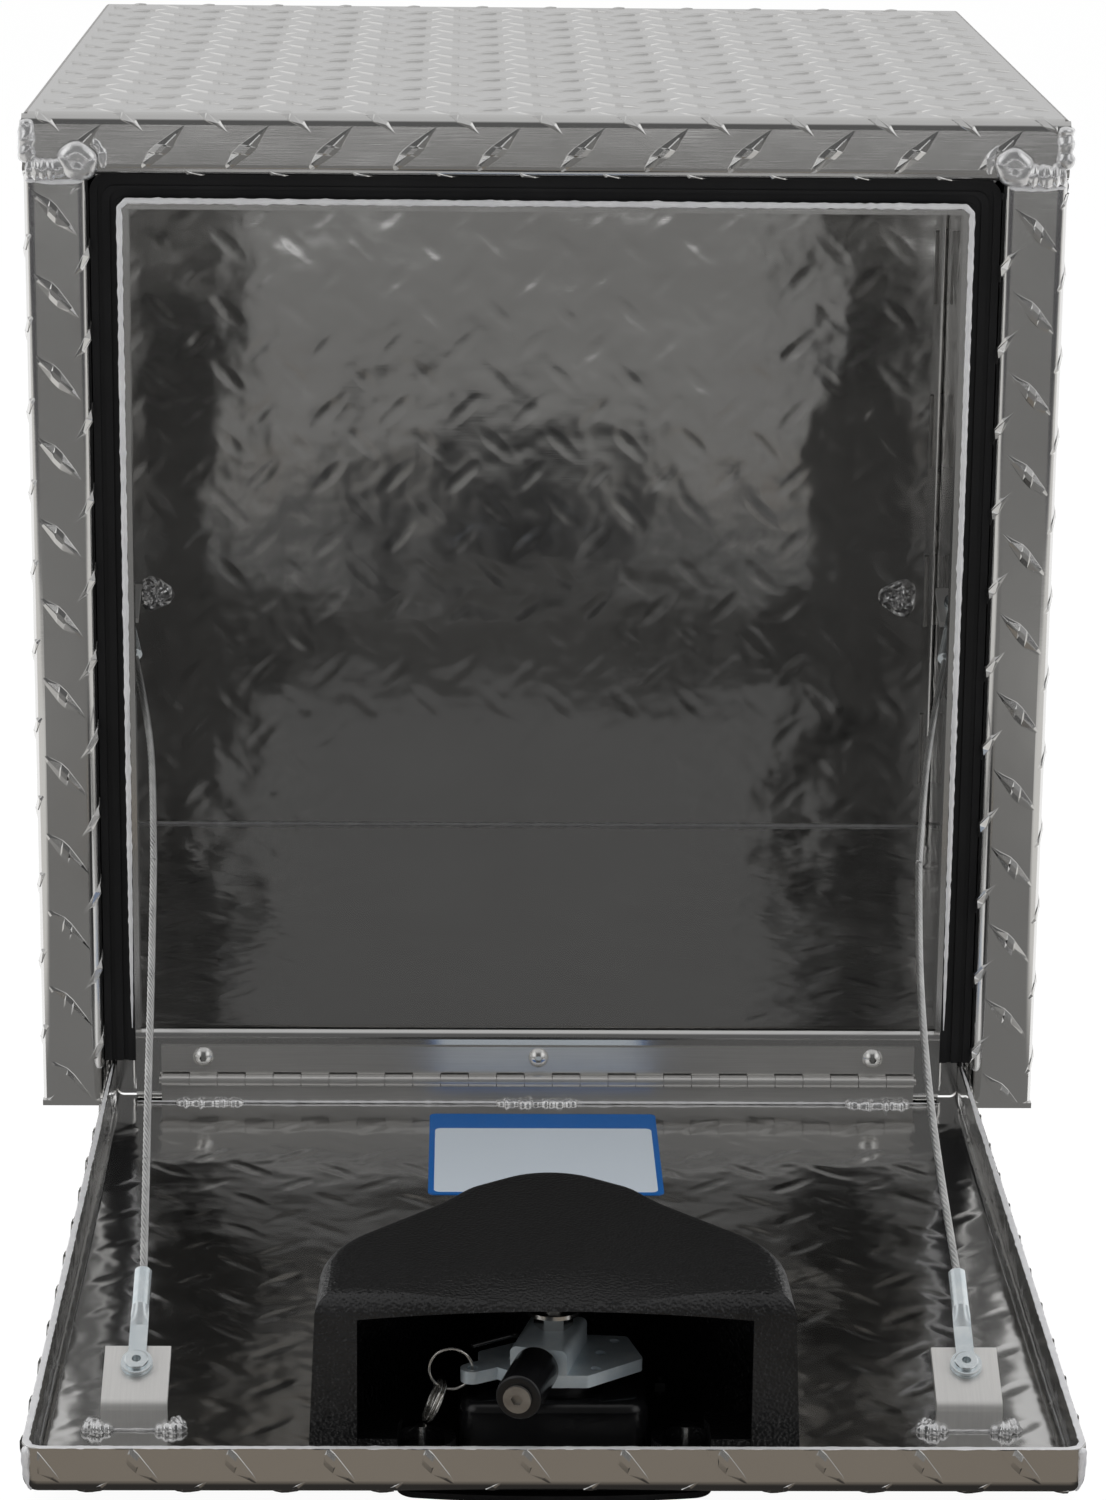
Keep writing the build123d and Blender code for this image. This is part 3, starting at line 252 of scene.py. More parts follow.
def lug_tree():
    """Geometry nodes: two crossed grids of lugs on the flat sheet."""
    tree = bpy.data.node_groups.new("tread_lugs", "GeometryNodeTree")
    tree.interface.new_socket("Geometry", in_out="OUTPUT", socket_type="NodeSocketGeometry")
    sockets = (("Columns", "Int"), ("Rows", "Int"), ("Pitch", "Float"), ("Height Spread", "Float"))
    for name, kind in (*sockets, ("Lug", "Object"), ("Material", "Material")):
        tree.interface.new_socket(name, in_out="INPUT", socket_type="NodeSocket" + kind)
    first = Wire(tree, None)
    given = tree.nodes.new("NodeGroupInput")
    value = {socket.name: Wire(tree, socket) for socket in given.outputs if socket.name}
    master = first.node("GeometryNodeObjectInfo", {"Object": value["Lug"]}, "Geometry")
    length = (value["Columns"] - 1) * value["Pitch"]
    width = (value["Rows"] - 1) * value["Pitch"]
    field = tree.nodes.new("GeometryNodeJoinGeometry")
    for shift, lean in ((0.0, -math.pi / 4), (0.5, math.pi / 4)):
        size = {"Size X": length, "Size Y": width}
        counts = {"Vertices X": value["Columns"], "Vertices Y": value["Rows"]}
        grid = first.node("GeometryNodeMeshGrid", {**size, **counts})
        aside = value["Pitch"] * shift
        middle = first.node("ShaderNodeCombineXYZ", {0: length * 0.5 + aside, 1: width * 0.5 + aside})
        moved = first.node("GeometryNodeTransform", {"Geometry": grid, "Translation": middle})
        tall = first.node("FunctionNodeRandomValue", {2: 1.0, 3: value["Height Spread"], "Seed": 7}, 1)
        scale = first.node("ShaderNodeCombineXYZ", {0: 1.0, 1: 1.0, 2: tall})
        inputs = {"Points": moved, "Instance": master, "Rotation": (0.0, 0.0, lean), "Scale": scale}
        placed = first.node("GeometryNodeInstanceOnPoints", inputs)
        tree.links.new(placed.socket, field.inputs[0])
    real = first.node("GeometryNodeRealizeInstances", {"Geometry": Wire(tree, field.outputs[0])})
    dressed = first.node("GeometryNodeSetMaterial", {"Geometry": real, "Material": value["Material"]})
    end = tree.nodes.new("NodeGroupOutput")
    tree.links.new(dressed.socket, end.inputs[0])
    return tree


tread_tree = lug_tree()


def plain_mesh(obj):
    """The evaluated object as a mesh of its own."""
    graph = bpy.context.evaluated_depsgraph_get()
    graph.update()
    return bpy.data.meshes.new_from_object(obj.evaluated_get(graph), depsgraph=graph)


def flat_lugs(low_u, high_u, low_v, high_v, phase, look):
    """Lugs of one flat rectangle, cut at its edges; phase is the centre of a lug that leans back."""
    start_u = phase[0] + lug_pitch * math.floor((low_u - phase[0]) / lug_pitch - 0.5)
    start_v = phase[1] + lug_pitch * math.floor((low_v - phase[1]) / lug_pitch - 0.5)
    carrier = bpy.data.objects.new("carrier", bpy.data.meshes.new("carrier"))
    bpy.context.scene.collection.objects.link(carrier)
    pattern = carrier.modifiers.new("lugs", "NODES")
    pattern.node_group = tread_tree
    wanted = {
        "Columns": math.ceil((high_u - start_u) / lug_pitch) + 2,
        "Rows": math.ceil((high_v - start_v) / lug_pitch) + 2,
        "Pitch": lug_pitch,
        "Height Spread": 0.86,
        "Lug": lug,
        "Material": look,
    }
    for socket in tread_tree.interface.items_tree:
        if socket.in_out == "INPUT":
            pattern[socket.identifier] = wanted[socket.name]
    form = bmesh.new()
    form.from_mesh(plain_mesh(carrier))
    bpy.data.objects.remove(carrier)
    bmesh.ops.translate(form, verts=form.verts, vec=(start_u, start_v, 0))
    cuts = (
        ((low_u, 0, 0), (-1, 0, 0)),
        ((high_u, 0, 0), (1, 0, 0)),
        ((0, low_v, 0), (0, -1, 0)),
        ((0, high_v, 0), (0, 1, 0)),
    )
    for point, normal in cuts:
        geometry = form.verts[:] + form.edges[:] + form.faces[:]
        bmesh.ops.bisect_plane(form, geom=geometry, plane_co=point, plane_no=normal, clear_outer=True)
    return form


def turned(way, side):
    """Normal to a direction, on its left where side is 1."""
    return side * np.array((-way[1], way[0]))


def lengths_along(points):
    """Distance along a path to each of its points."""
    return np.concatenate([[0], np.cumsum(np.linalg.norm(np.diff(points, axis=0), axis=1))])


def points_at(distances, lengths, points):
    """Points at some distances along a path."""
    columns = range(points.shape[1])
    return np.stack([np.interp(distances, lengths, points[:, index]) for index in columns], 1)


def unit(vectors):
    return vectors / np.linalg.norm(vectors, axis=1)[:, None]


def fold_line(corners, side, radius=5.0):
    """Sheet outline: arc length, point and outward normal at each station."""
    corners = [np.array(corner, float) for corner in corners]
    points = [corners[0]]
    normals = []
    for before, here, after in zip(corners, corners[1:], corners[2:]):
        come = (here - before) / np.linalg.norm(here - before)
        go = (after - here) / np.linalg.norm(after - here)
        centre = here - come * radius + go * radius
        if not normals:
            normals.append(turned(come, side))
        for step in range(7):
            angle = step / 6 * math.pi / 2
            out = -go * math.cos(angle) + come * math.sin(angle)
            points.append(centre + out * radius)
            normals.append(turned(come * math.cos(angle) + go * math.sin(angle), side))
    points.append(corners[-1])
    normals.append(normals[-1])
    points = np.array(points)
    return lengths_along(points), points, np.array(normals)


def along_fold(line, distance, height):
    """Points at a distance along the outline and a height above it."""
    lengths, points, normals = line
    normal = unit(points_at(distance, lengths, normals))
    return points_at(distance, lengths, points) + normal * height[:, None]


half_box = 228.6
box_high = 457.2
box_deep = 457.2
pin_back = 4.7
skin_low = 0.4


def to_frame(points):
    """Drawing millimetres, from the shell's lower front edge, to metres in the part's frame."""
    return (np.asarray(points, float) - (0.0, half_box, box_high)) / 1000


def from_door(points):
    """Millimetres on the door, from the hinge pin and the skin's inner face, to the drawing."""
    return np.asarray(points, float) + (0.0, pin_back, -skin_low)


def add_piece(name, body, points, faces, look, smooth=True):
    """A finished mesh piece that rides on one body."""
    mesh = bpy.data.meshes.new(name)
    mesh.from_pydata([tuple(point) for point in points], [], faces)
    mesh.materials.append(look)
    piece = bpy.data.objects.new(name, mesh)
    bpy.context.scene.collection.objects.link(piece)
    fixed = bmesh.new()
    fixed.from_mesh(mesh)
    bmesh.ops.remove_doubles(fixed, verts=fixed.verts, dist=1e-7)
    bmesh.ops.recalc_face_normals(fixed, faces=fixed.faces)
    fixed.to_mesh(mesh)
    fixed.free()
    mesh.polygons.foreach_set("use_smooth", [smooth] * len(mesh.polygons))
    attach(piece, body)
    return piece


def lay_lugs(name, body, look, patches):
    """Lugs of several rectangles, each folded into place, as one piece."""
    points = []
    faces = []
    for rectangle, phase, place in patches:
        form = flat_lugs(*rectangle, phase, look)
        form.verts.index_update()
        flat = np.array([tuple(vert.co) for vert in form.verts])
        count = sum(len(block) for block in points)
        points.append(to_frame(place(flat[:, 0], flat[:, 1], flat[:, 2])))
        faces += [[vert.index + count for vert in face.verts] for face in form.faces]
        form.free()
    piece = add_piece(name, body, np.concatenate(points), faces, look, smooth=False)
    return piece


jamb_x = 200.7
turn_in = 9.0
flange_end = 208.8
header_low = 430.0
right_side = [(jamb_x, turn_in), (jamb_x, 0.0), (half_box, 0.0), (half_box, box_deep), (flange_end, box_deep)]
right_line = fold_line(right_side, -1)
left_line = fold_line([(-x, y) for x, y in reversed(right_side)], -1)
top_line = fold_line([(turn_in, header_low), (0.0, header_low), (0.0, box_high), (box_deep, box_high)], 1)


def on_upright(line):
    def place(u, v, h):
        flat = along_fold(line, u, h)
        return np.stack([flat[:, 0], flat[:, 1], v], 1)

    return place


def on_top(u, v, h):
    flat = along_fold(top_line, v, h)
    return np.stack([u, flat[:, 0], flat[:, 1]], 1)


def on_back(u, v, h):
    return np.stack([-u, 454.7 + h, v], 1)


def on_floor(u, v, h):
    return np.stack([u, v, -h], 1)


right_end = right_line[0][-1]
left_end = left_line[0][-1]
jamb_middle = 21.85
side_high = 454.4
jamb_high = 424.5
past_corner = 41.5
right_phase = (jamb_middle, 408.1)
left_phase = (left_end - jamb_middle, 414.1)
top_phase = (-150.0, 36.7)
shell_patches = [
    ((1.0, right_end, 3.0, jamb_high), right_phase, on_upright(right_line)),
    ((past_corner, right_end, jamb_high, side_high), right_phase, on_upright(right_line)),
    ((0.0, left_end - 1.0, 3.0, jamb_high), left_phase, on_upright(left_line)),
    ((0.0, left_end - past_corner, jamb_high, side_high), left_phase, on_upright(left_line)),
    ((-184.0, 184.0, 1.0, 12.0), top_phase, on_top),
    ((-222.6, 222.6, 12.0, top_line[0][-1] - 1.0), top_phase, on_top),
    ((-207.0, 207.0, 3.5, 453.6), (-10.0, 40.0), on_back),
    ((-227.0, 227.0, 24.0, 451.0), (4.0, 30.0), on_floor),
]
lay_lugs("shell_lugs", "shell", shell_sheet, shell_patches)

hinge_end, free_end, door_half = 11.0, -417.5, 198.2
skin, flange_top, door_bend = -2.5, 16.5, 6.0
door_line = fold_line([(hinge_end, skin), (free_end, skin), (free_end, flange_top)], 1, door_bend)
right_flap = fold_line([(0.0, skin), (door_half, skin), (door_half, flange_top)], -1, door_bend)
left_flap = fold_line([(-door_half, flange_top), (-door_half, skin), (0.0, skin)], -1, door_bend)
door_end = door_line[0][-1]
left_start = left_flap[0][-1]


def on_door(u, v, h):
    flat = along_fold(door_line, v, h)
    return from_door(np.stack([u, flat[:, 0], flat[:, 1]], 1))


def on_right_flap(u, v, h):
    flat = along_fold(right_flap, u, h)
    return from_door(np.stack([flat[:, 0], hinge_end - v, flat[:, 1]], 1))


def on_left_flap(u, v, h):
    flat = along_fold(left_flap, u + left_start, h)
    return from_door(np.stack([flat[:, 0], hinge_end - v, flat[:, 1]], 1))


door_phase = (-156.6, door_end - 4.5)
door_patches = [
    ((-192.0, -60.0, 15.0, door_end), door_phase, on_door),
    ((60.0, 192.0, 15.0, door_end), door_phase, on_door),
    ((-60.0, 60.0, 15.0, 319.0), door_phase, on_door),
    ((-60.0, 60.0, 428.0, door_end), door_phase, on_door),
    ((192.0, right_flap[0][-1], 8.0, 421.0), door_phase, on_right_flap),
    ((-left_start, -192.0, 8.0, 421.0), door_phase, on_left_flap),
]
lay_lugs("door_lugs", "door", door_sheet, door_patches)


# Welds: aluminium beads laid by hand, ground flat along the top edges, left as cast in the corners
# and at the bracket feet. Bright, rippled and lumpy.


def weld_look(name, light, dark, rough, metal=0.85):
    look, shader, place = new_look(name)
    lumps = place.noise(150.0, 2.0)
    grain = place.noise(900.0, 2.0)
    tone = (lumps * 1.6 - 0.3).clamp().mix(dark, light)
    normal = place.bump(lumps, 0.00012)
    normal = place.bump(grain, 0.00005, normal)
    rough = rough + grain * 0.16
    return finish_look(look, shader, {"Metallic": metal}, Base_Color=tone, Roughness=rough, Normal=normal)


bright_weld = weld_look("bright_weld", (0.95, 0.95, 0.95, 1), (0.66, 0.66, 0.67, 1), 0.10, 0.78)
ground_weld = weld_look("ground_weld", (0.62, 0.61, 0.60, 1), (0.40, 0.39, 0.38, 1), 0.34)
dress(ground_weld, "top_seam_welds", "back_stitch_welds")


def tube_faces(rows, sides):
    """Faces of a tube of rings with a closed face at each end."""
    faces = []
    for row in range(rows - 1):
        near = row * sides
        for side in range(sides):
            after = (side + 1) % sides
            faces.append([near + side, near + after, near + sides + after, near + sides + side])
    faces.append(list(range(sides)))
    faces.append([(rows - 1) * sides + side for side in range(sides)])
    return faces


def lump_faces(rings, sides):
    """Faces of a round lump: a fan at its middle point, the rings round it and its underside."""
    faces = []
    for turn in range(sides):
        after = (turn + 1) % sides
        faces.append([0, 1 + turn, 1 + after])
        for ring in range(rings - 1):
            near = 1 + ring * sides
            faces.append([near + turn, near + sides + turn, near + sides + after, near + after])
    faces.append([1 + (rings - 1) * sides + turn for turn in range(sides)])
    return faces


def bead(path, radii, squash_axis, squash, seed, sides=14, ripple=0.10, pitch=2.4):
    """Points and faces of a rippled bead along a path, all in drawing millimetres."""
    random = np.random.default_rng(seed)
    path = np.array(path, float)
    spans = lengths_along(path)
    total = spans[-1]
    station_gap = 0.45
    knot_gap = 2.5
    count = max(8, int(total / station_gap))
    along = np.linspace(0, total, count)
    line = points_at(along, spans, path)
    size = np.interp(along, spans, radii)
    ends = np.sqrt(np.clip(1 - (np.abs(along / total * 2 - 1)) ** 8, 0.02, 1))
    knots = np.arange(0, total + knot_gap, knot_gap)
    uneven = np.interp(along, knots, 0.09 * random.standard_normal(len(knots)))
    size = size * ends * (1 + ripple * np.abs(np.sin(along / pitch * math.pi)) + uneven)
    up = np.array(squash_axis, float)
    across = unit(np.cross(unit(np.gradient(line, axis=0)), up))
    points = []
    for turn in np.linspace(0, 2 * math.pi, sides, endpoint=False):
        wobble = 1 + 0.05 * np.sin(3 * turn + along)
        offset = across * math.cos(turn) + up * math.sin(turn) * squash
        points.append(line + offset * (size * wobble)[:, None])
    return np.stack(points, 1).reshape(-1, 3), tube_faces(count, sides)


def gather(parts):
    """Several point and face lists as one."""
    points = []
    faces = []
    for some, their_faces in parts:
        count = sum(len(block) for block in points)
        points.append(some)
        faces += [[index + count for index in face] for face in their_faces]
    return np.concatenate(points), faces


def puddle(centre, radius, high):
    """Round weld puddle on the front, its rim a little higher than its middle."""
    middle_share = 0.86
    sunk = 0.3
    points = [(centre[0], centre[1] - high * middle_share + sunk, centre[2])]
    rings = 12
    sides = 40
    for ring in range(1, rings + 1):
        share = ring / rings
        lift = high * (middle_share + 0.14 * math.sin(math.pi * share)) * math.sqrt(1 - share**4)
        for turn in range(sides):
            angle = 2 * math.pi * turn / sides
            uneven = 0.05 * math.sin(2 * angle + centre[0]) + 0.03 * math.sin(5 * angle)
            reach = radius * share * (1 + uneven)
            across = centre[0] + reach * math.cos(angle)
            points.append((across, centre[1] - lift + sunk, centre[2] + reach * math.sin(angle)))
    return np.array(points), lump_faces(rings, sides)


def corner_beads(side, seed):
    """Rippled bead across the joint of jamb and header, a puddle at its inner end, a bead up the corner."""
    run = [(side * 227.6, 0.6, 433.0), (side * 219.0, -0.2, 432.6), (side * 209.5, -0.4, 433.4)]
    rise = [(side * 226.6, 1.0, 435.0), (side * 226.4, 0.8, 444.0), (side * 226.2, 1.6, 454.6)]
    tail = [(side * 197.6, 0.2, 446.0), (side * 193.8, -0.1, 440.4), (side * 193.4, 0.2, 433.0)]
    return [
        bead(run, [5.0, 4.6, 4.4], (0, 1, 0), 0.62, seed, sides=18, pitch=3.3, ripple=0.14),
        puddle((side * 204.4, -0.2, 436.4), 9.0, 3.6),
        bead(rise, [4.4, 3.4, 4.0], (0, 1, 0), 0.8, seed + 2, sides=18, pitch=8.0, ripple=0.10),
        bead(tail, [1.2, 2.2, 1.4], (0, 1, 0), 0.5, seed + 3, pitch=9.0, ripple=0.05),
    ]


points, faces = gather(corner_beads(-1, 3) + corner_beads(1, 13))
corner_piece = add_piece("corner_beads", "shell", to_frame(points), faces, bright_weld)
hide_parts("corner_welds")


def crumpled(centre, radius, high, seed):
    """Crumpled weld lump on the back sheet."""
    random = np.random.default_rng(seed)
    points = [(centre[0], centre[1] - high, centre[2])]
    rings = 9
    sides = 26
    for ring in range(1, rings + 1):
        share = ring / rings
        for turn in range(sides):
            angle = 2 * math.pi * turn / sides
            jag = 1 + 0.16 * random.standard_normal() * share * (1 - share) * 3
            reach = radius * share * (jag + 0.12 * math.sin(3 * angle + seed) * share)
            lift = high * (1 - share**2) * (1 + 0.35 * random.standard_normal() * share)
            lift = lift if ring < rings else -0.2
            across = centre[0] + reach * math.cos(angle)
            points.append((across, centre[1] - lift, centre[2] + reach * math.sin(angle)))
    return np.array(points), lump_faces(rings, sides)


right_lump = crumpled((205.75, 452.2, 135.0), 10.5, 6.0, 5)
left_lump = crumpled((-205.75, 452.2, 135.0), 9.5, 4.5, 8)
points, faces = gather([right_lump, left_lump])
lump_piece = add_piece("back_lumps", "shell", to_frame(points), faces, bright_weld, smooth=False)
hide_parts("back_weld_nuggets")


def bracket_beads(side, seed):
    """Lumps at both edges of a bracket's foot, and the thin bead between them."""
    foot = -363.0
    middle = side * 160.2
    parts = []
    for edge in (-1, 1):
        x = middle + edge * 14.0
        run = [(x - 6.5, foot - 1.8, 1.0), (x, foot - 2.4, 1.7), (x + 6.5, foot - 1.8, 1.0)]
        back = [(x + edge * 1.0, foot - 1.0, 2.4), (x + edge * 3.5, foot + 1.0, 1.8)]
        back.append((x + edge * 6.0, foot + 1.4, 0.8))
        parts.append(bead(run, [2.0, 3.2, 1.6], (0, 0, 1), 0.75, seed + edge, pitch=3.1, ripple=0.35))
        parts.append(bead(back, [2.2, 2.6, 1.4], (0, 0, 1), 0.8, seed + 5 + edge, pitch=2.2, ripple=0.4))
    thin = [(middle - 9.0, foot - 1.7, 0.4), (middle + 9.0, foot - 1.7, 0.4)]
    parts.append(bead(thin, [0.8, 0.8], (0, 0, 1), 0.8, seed + 9))
    return parts


for name, side, seed in (("left", -1, 21), ("right", 1, 41)):
    points, faces = gather(bracket_beads(side, seed))
    piece = add_piece(f"{name}_bracket_beads", "door", to_frame(from_door(points)), faces, bright_weld)
    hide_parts(f"{name}_bracket_welds")

stitches = []
stitch_radii = [1.6, 3.0, 2.0, 3.1, 1.8, 2.9, 2.1, 2.8, 1.5]
for centre, half, seed in ((-152.0, 16.0, 61), (0.0, 20.0, 62), (157.6, 15.5, 63)):
    wander = np.random.default_rng(seed).uniform(-0.5, 0.5, len(stitch_radii))
    run = [(centre + half * (index / 4 - 1), 0.2 + 2.2 * shift, 0.5) for index, shift in enumerate(wander)]
    stitches.append(bead(run, stitch_radii, (0, 0, 1), 0.7, seed, pitch=3.6, ripple=0.3))
points, faces = gather(stitches)
stitch_piece = add_piece("leaf_stitches", "door", to_frame(from_door(points)), faces, bright_weld)
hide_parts("hinge_leaf_welds")


# Raw edges: the lips and the door's flanges end in a sheared edge, bright and a little burred,
# with a bump wherever the shears went through a lug. A thin bead closes the floor to the back.

edge_look = weld_look("sheared_edge", (0.96, 0.96, 0.97, 1), (0.80, 0.80, 0.82, 1), 0.30, 0.35)


def burred(path, seed, width=1.3, rise=0.35):
    """A path of straight runs with a bump every pitch, and the half widths that go with it."""
    random = np.random.default_rng(seed)
    points = []
    widths = []
    for start, end in zip(path, path[1:]):
        start, end = np.array(start, float), np.array(end, float)
        length = np.linalg.norm(end - start)
        stations = [0.0]
        for place in np.arange(lug_pitch * 0.4, length - 4.0, lug_pitch):
            stations += [place - 3.0, place, place + 2.0]
        for station in stations:
            bump = rise * random.uniform(0.6, 1.0) if station in stations[2::3] else 0.0
            points.append(start + (end - start) * station / length)
            widths.append(width + bump)
    points.append(np.array(path[-1], float))
    widths.append(width)
    return points, widths


lip_x, lip_top, lip_front = 187.25, 418.25, 5.5
lip_foot, lip_corner = 36.0, 3.0
lip_path = [(-lip_x, lip_front, lip_foot), (-lip_x, lip_front, lip_top - lip_corner)]
lip_path.append((-lip_x + lip_corner, lip_front, lip_top))
lip_path += [(-x, y, z) for x, y, z in reversed(lip_path)]
seam_path = [(-224.0, 451.8, 3.0), (224.0, 451.8, 3.0)]
shell_edges = [
    bead(*burred(lip_path, 71), (0, 1, 0), 0.4, 71, ripple=0.0),
    bead(*burred(seam_path, 72, 1.3, 0.6), (0, 0, 1), 0.8, 72, ripple=0.0),
]
for side in (-1, 1):
    joint = [(side * 202.5, 0.2, 427.4), (side * 215.0, 0.2, 427.0), (side * 227.4, 0.4, 427.6)]
    shell_edges.append(bead(joint, [1.1, 1.3, 1.0], (0, 1, 0), 0.4, 75 + side, ripple=0.0))
points, faces = gather(shell_edges)
shell_edge_piece = add_piece("shell_edges", "shell", to_frame(points), faces, edge_look)

flange_x, flange_front = 196.95, -416.25
flange_path = [(-flange_x, 8.0, flange_top), (-flange_x, flange_front + 6.0, flange_top)]
flange_path.append((-flange_x + 1.8, flange_front + 1.8, flange_top))
flange_path.append((-flange_x + 6.0, flange_front, flange_top))
flange_path += [(-x, y, z) for x, y, z in reversed(flange_path)]
door_edges = [bead(*burred(flange_path, 81, 1.25, 0.3), (0, 0, 1), 0.3, 81, ripple=0.0)]
for side in (-1, 1):
    corner = [(side * 196.4, -415.7, 16.6), (side * 196.7, -416.0, 12.0), (side * 196.4, -415.7, 5.0)]
    corner.append((side * 195.0, -414.3, -1.6))
    outward = (side * 0.7, -0.7, 0)
    radii = [2.1, 1.7, 1.5, 1.2]
    door_edges.append(bead(corner, radii, outward, 0.7, 84 + side, pitch=4.2, ripple=0.12))
door_edges.append(bead([(-186.0, 0.4, 0.7), (186.0, 0.4, 0.7)], [0.8, 0.8], (0, 0, 1), 0.8, 90, ripple=0.0))
points, faces = gather(door_edges)
# The beads rise less than the room of 0.3 mm that the gasket has above the closed flanges.
highest_bead = flange_top + 0.06
points[:, 2] = np.minimum(points[:, 2], highest_bead)
door_edge_piece = add_piece("door_edges", "door", to_frame(from_door(points)), faces, edge_look)


# Door gasket: black ribbed sponge rubber, glued into the channel round three sides of the doorway.


def rubber_look(name, low, high, rough):
    look, shader, place = new_look(name)
    pores = place.noise(700.0, 3.0)
    dust = place.noise(25.0, 4.0, 0.6)
    tone = (dust * 1.8 - 0.5).clamp().mix((*low, 1), (*high, 1))
    normal = place.bump(pores, 0.00006)
    rough = rough + dust * 0.2
    constants = {"Specular IOR Level": 0.4}
    return finish_look(look, shader, constants, Base_Color=tone, Roughness=rough, Normal=normal)


gasket_look = rubber_look("gasket_rubber", (0.006, 0.006, 0.007), (0.016, 0.016, 0.017), 0.34)
dress(gasket_look, "door_gasket", "dish_gasket")


# Piano hinge: brushed stainless leaves with rolled knuckles on one pin. The fixed leaf is held to
# the sill by three button-head screws, the moving leaf is stitched to the door.


def brushed_look(name, light, dark, rough, stretch, scale=55.0, metal=1.0):
    look, shader, place = new_look(name)
    lines = place.stretch(*stretch).noise(scale, 5.0, 0.65)
    smear = place.noise(22.0, 4.0)
    tone = (lines * 0.9 + smear * 0.5 - 0.2).clamp().mix((*dark, 1), (*light, 1))
    normal = place.bump(lines, 0.00003)
    rough = rough + smear * 0.14
    return finish_look(look, shader, {"Metallic": metal}, Base_Color=tone, Roughness=rough, Normal=normal)


hinge_light, hinge_dark = (0.74, 0.73, 0.71), (0.54, 0.53, 0.52)
hinge_look = brushed_look("hinge_steel", hinge_light, hinge_dark, 0.24, (0.6, 30, 30), metal=0.84)
dress(hinge_look, "hinge_box_leaf", "hinge_door_leaf", "hinge_pin")
fastener_light, fastener_dark = (0.86, 0.85, 0.83), (0.62, 0.62, 0.61)
fastener_look = brushed_look("fastener_steel", fastener_light, fastener_dark, 0.12, (1, 1, 1), 300.0)
dress(fastener_look, "hinge_screws", "hinge_nuts", "shroud_studs", "top_washer", "top_nut")
dress(fastener_look, "latch_spindle", "spring_disc")


# Label: the thin film stuck on the door by the hinge, left bare: a white panel in a blue border.

look, shader, place = new_look("label_film")
half_width = 0.1037 / 2
border = 0.0026
corner = 0.0030
from_middle_x = abs(place.axis(0) - 0.00185)
label_gap, label_deep = 14.0, 101.7
label_front = (pin_back - label_gap - label_deep - half_box) / 1000
label_back = (pin_back - label_gap - half_box) / 1000
head = 0.0190
panel_middle = (label_front + border + label_back - head) / 2
panel_half = (label_back - head - label_front - border) / 2
past_x = place.maths("MAXIMUM", from_middle_x - (half_width - border - corner), 0.0)
past_y = place.maths("MAXIMUM", abs(place.axis(1) - panel_middle) - (panel_half - corner), 0.0)
panel = past_x * past_x + past_y * past_y < corner * corner
tone = panel.mix((0.004, 0.125, 0.44, 1), (0.68, 0.75, 0.82, 1))
fine = place.noise(240.0, 3.0)
normal = place.bump(place.noise(45.0, 2.0), 0.0001)
rough = 0.26 + fine * 0.12
finish_look(look, shader, {"Coat Roughness": 0.15}, Base_Color=tone, Roughness=rough, Normal=normal)
dress(look, "blank_label")


# Cable brackets: sheared aluminium strip, folded once. The lower ones stand on the door, the upper
# ones are welded to the side walls. Fine mill lines.

bracket_light, bracket_dark = (0.76, 0.75, 0.73), (0.60, 0.59, 0.58)
bracket_look = brushed_look("bracket_plate", bracket_light, bracket_dark, 0.30, (30, 1, 1), 40.0, 0.60)
dress(bracket_look, "left_door_bracket", "right_door_bracket")
dress(bracket_look, "left_anchor_bracket", "right_anchor_bracket")


# Check cables: galvanised steel wire rope, six strands laid round a core. Each is drawn in two
# lengths that meet where it folds, and both ends are crimped into an eye terminal that is riveted.


def zinc_look(name, light, blue, rough, metal=0.9):
    look, shader, place = new_look(name)
    cloud = place.noise(120.0, 4.0, 0.6)
    spangle = place.noise(420.0, 2.0)
    tone = (cloud * 1.5 - 0.25).clamp().mix((*blue, 1), (*light, 1))
    normal = place.bump(spangle, 0.00004)
    rough = rough + cloud * 0.16
    return finish_look(look, shader, {"Metallic": metal}, Base_Color=tone, Roughness=rough, Normal=normal)


terminal_look = zinc_look("terminal_zinc", (0.86, 0.89, 0.90), (0.62, 0.70, 0.74), 0.14)
rivets = ("lower_cable_washers", "lower_cable_rivets", "upper_cable_washers", "upper_cable_rivets")
terminals = ("left_lower_terminal", "right_lower_terminal", "left_upper_terminal", "right_upper_terminal")
dress(terminal_look, *rivets, *terminals)
rope_look = zinc_look("rope_wire", (0.74, 0.74, 0.73), (0.40, 0.40, 0.40), 0.22, 0.88)

rope_radius = 0.0016
strand_radius = 0.00057
lay_length = 0.0185
ropes = {
    "left_lower_cable": (
        "door",
        [
            (-0.1602, -0.5294, -0.4152),
            (-0.1621, -0.4841, -0.3941),
            (-0.1642, -0.4388, -0.3730),
            (-0.1660, -0.3935, -0.3518),
            (-0.1678, -0.3527, -0.3328),
            (-0.1698, -0.3119, -0.3138),
        ],
    ),
    "left_upper_cable": (
        "left_cable_top",
        [
            (-0.16982, -0.3116, -0.31365),
            (-0.1726, -0.2697, -0.2941),
            (-0.1770, -0.2275, -0.2744),
            (-0.1861, -0.1853, -0.2548),
        ],
    ),
    "right_lower_cable": (
        "door",
        [
            (0.1602, -0.5294, -0.4152),
            (0.1580, -0.4841, -0.3941),
            (0.1570, -0.4388, -0.3730),
            (0.1578, -0.3935, -0.3518),
            (0.1600, -0.3527, -0.3328),
            (0.1636, -0.3119, -0.3138),
        ],
    ),
    "right_upper_cable": (
        "right_cable_top",
        [
            (0.16363, -0.3116, -0.31365),
            (0.1690, -0.2697, -0.2941),
            (0.1764, -0.2275, -0.2744),
            (0.1861, -0.1853, -0.2548),
        ],
    ),
}


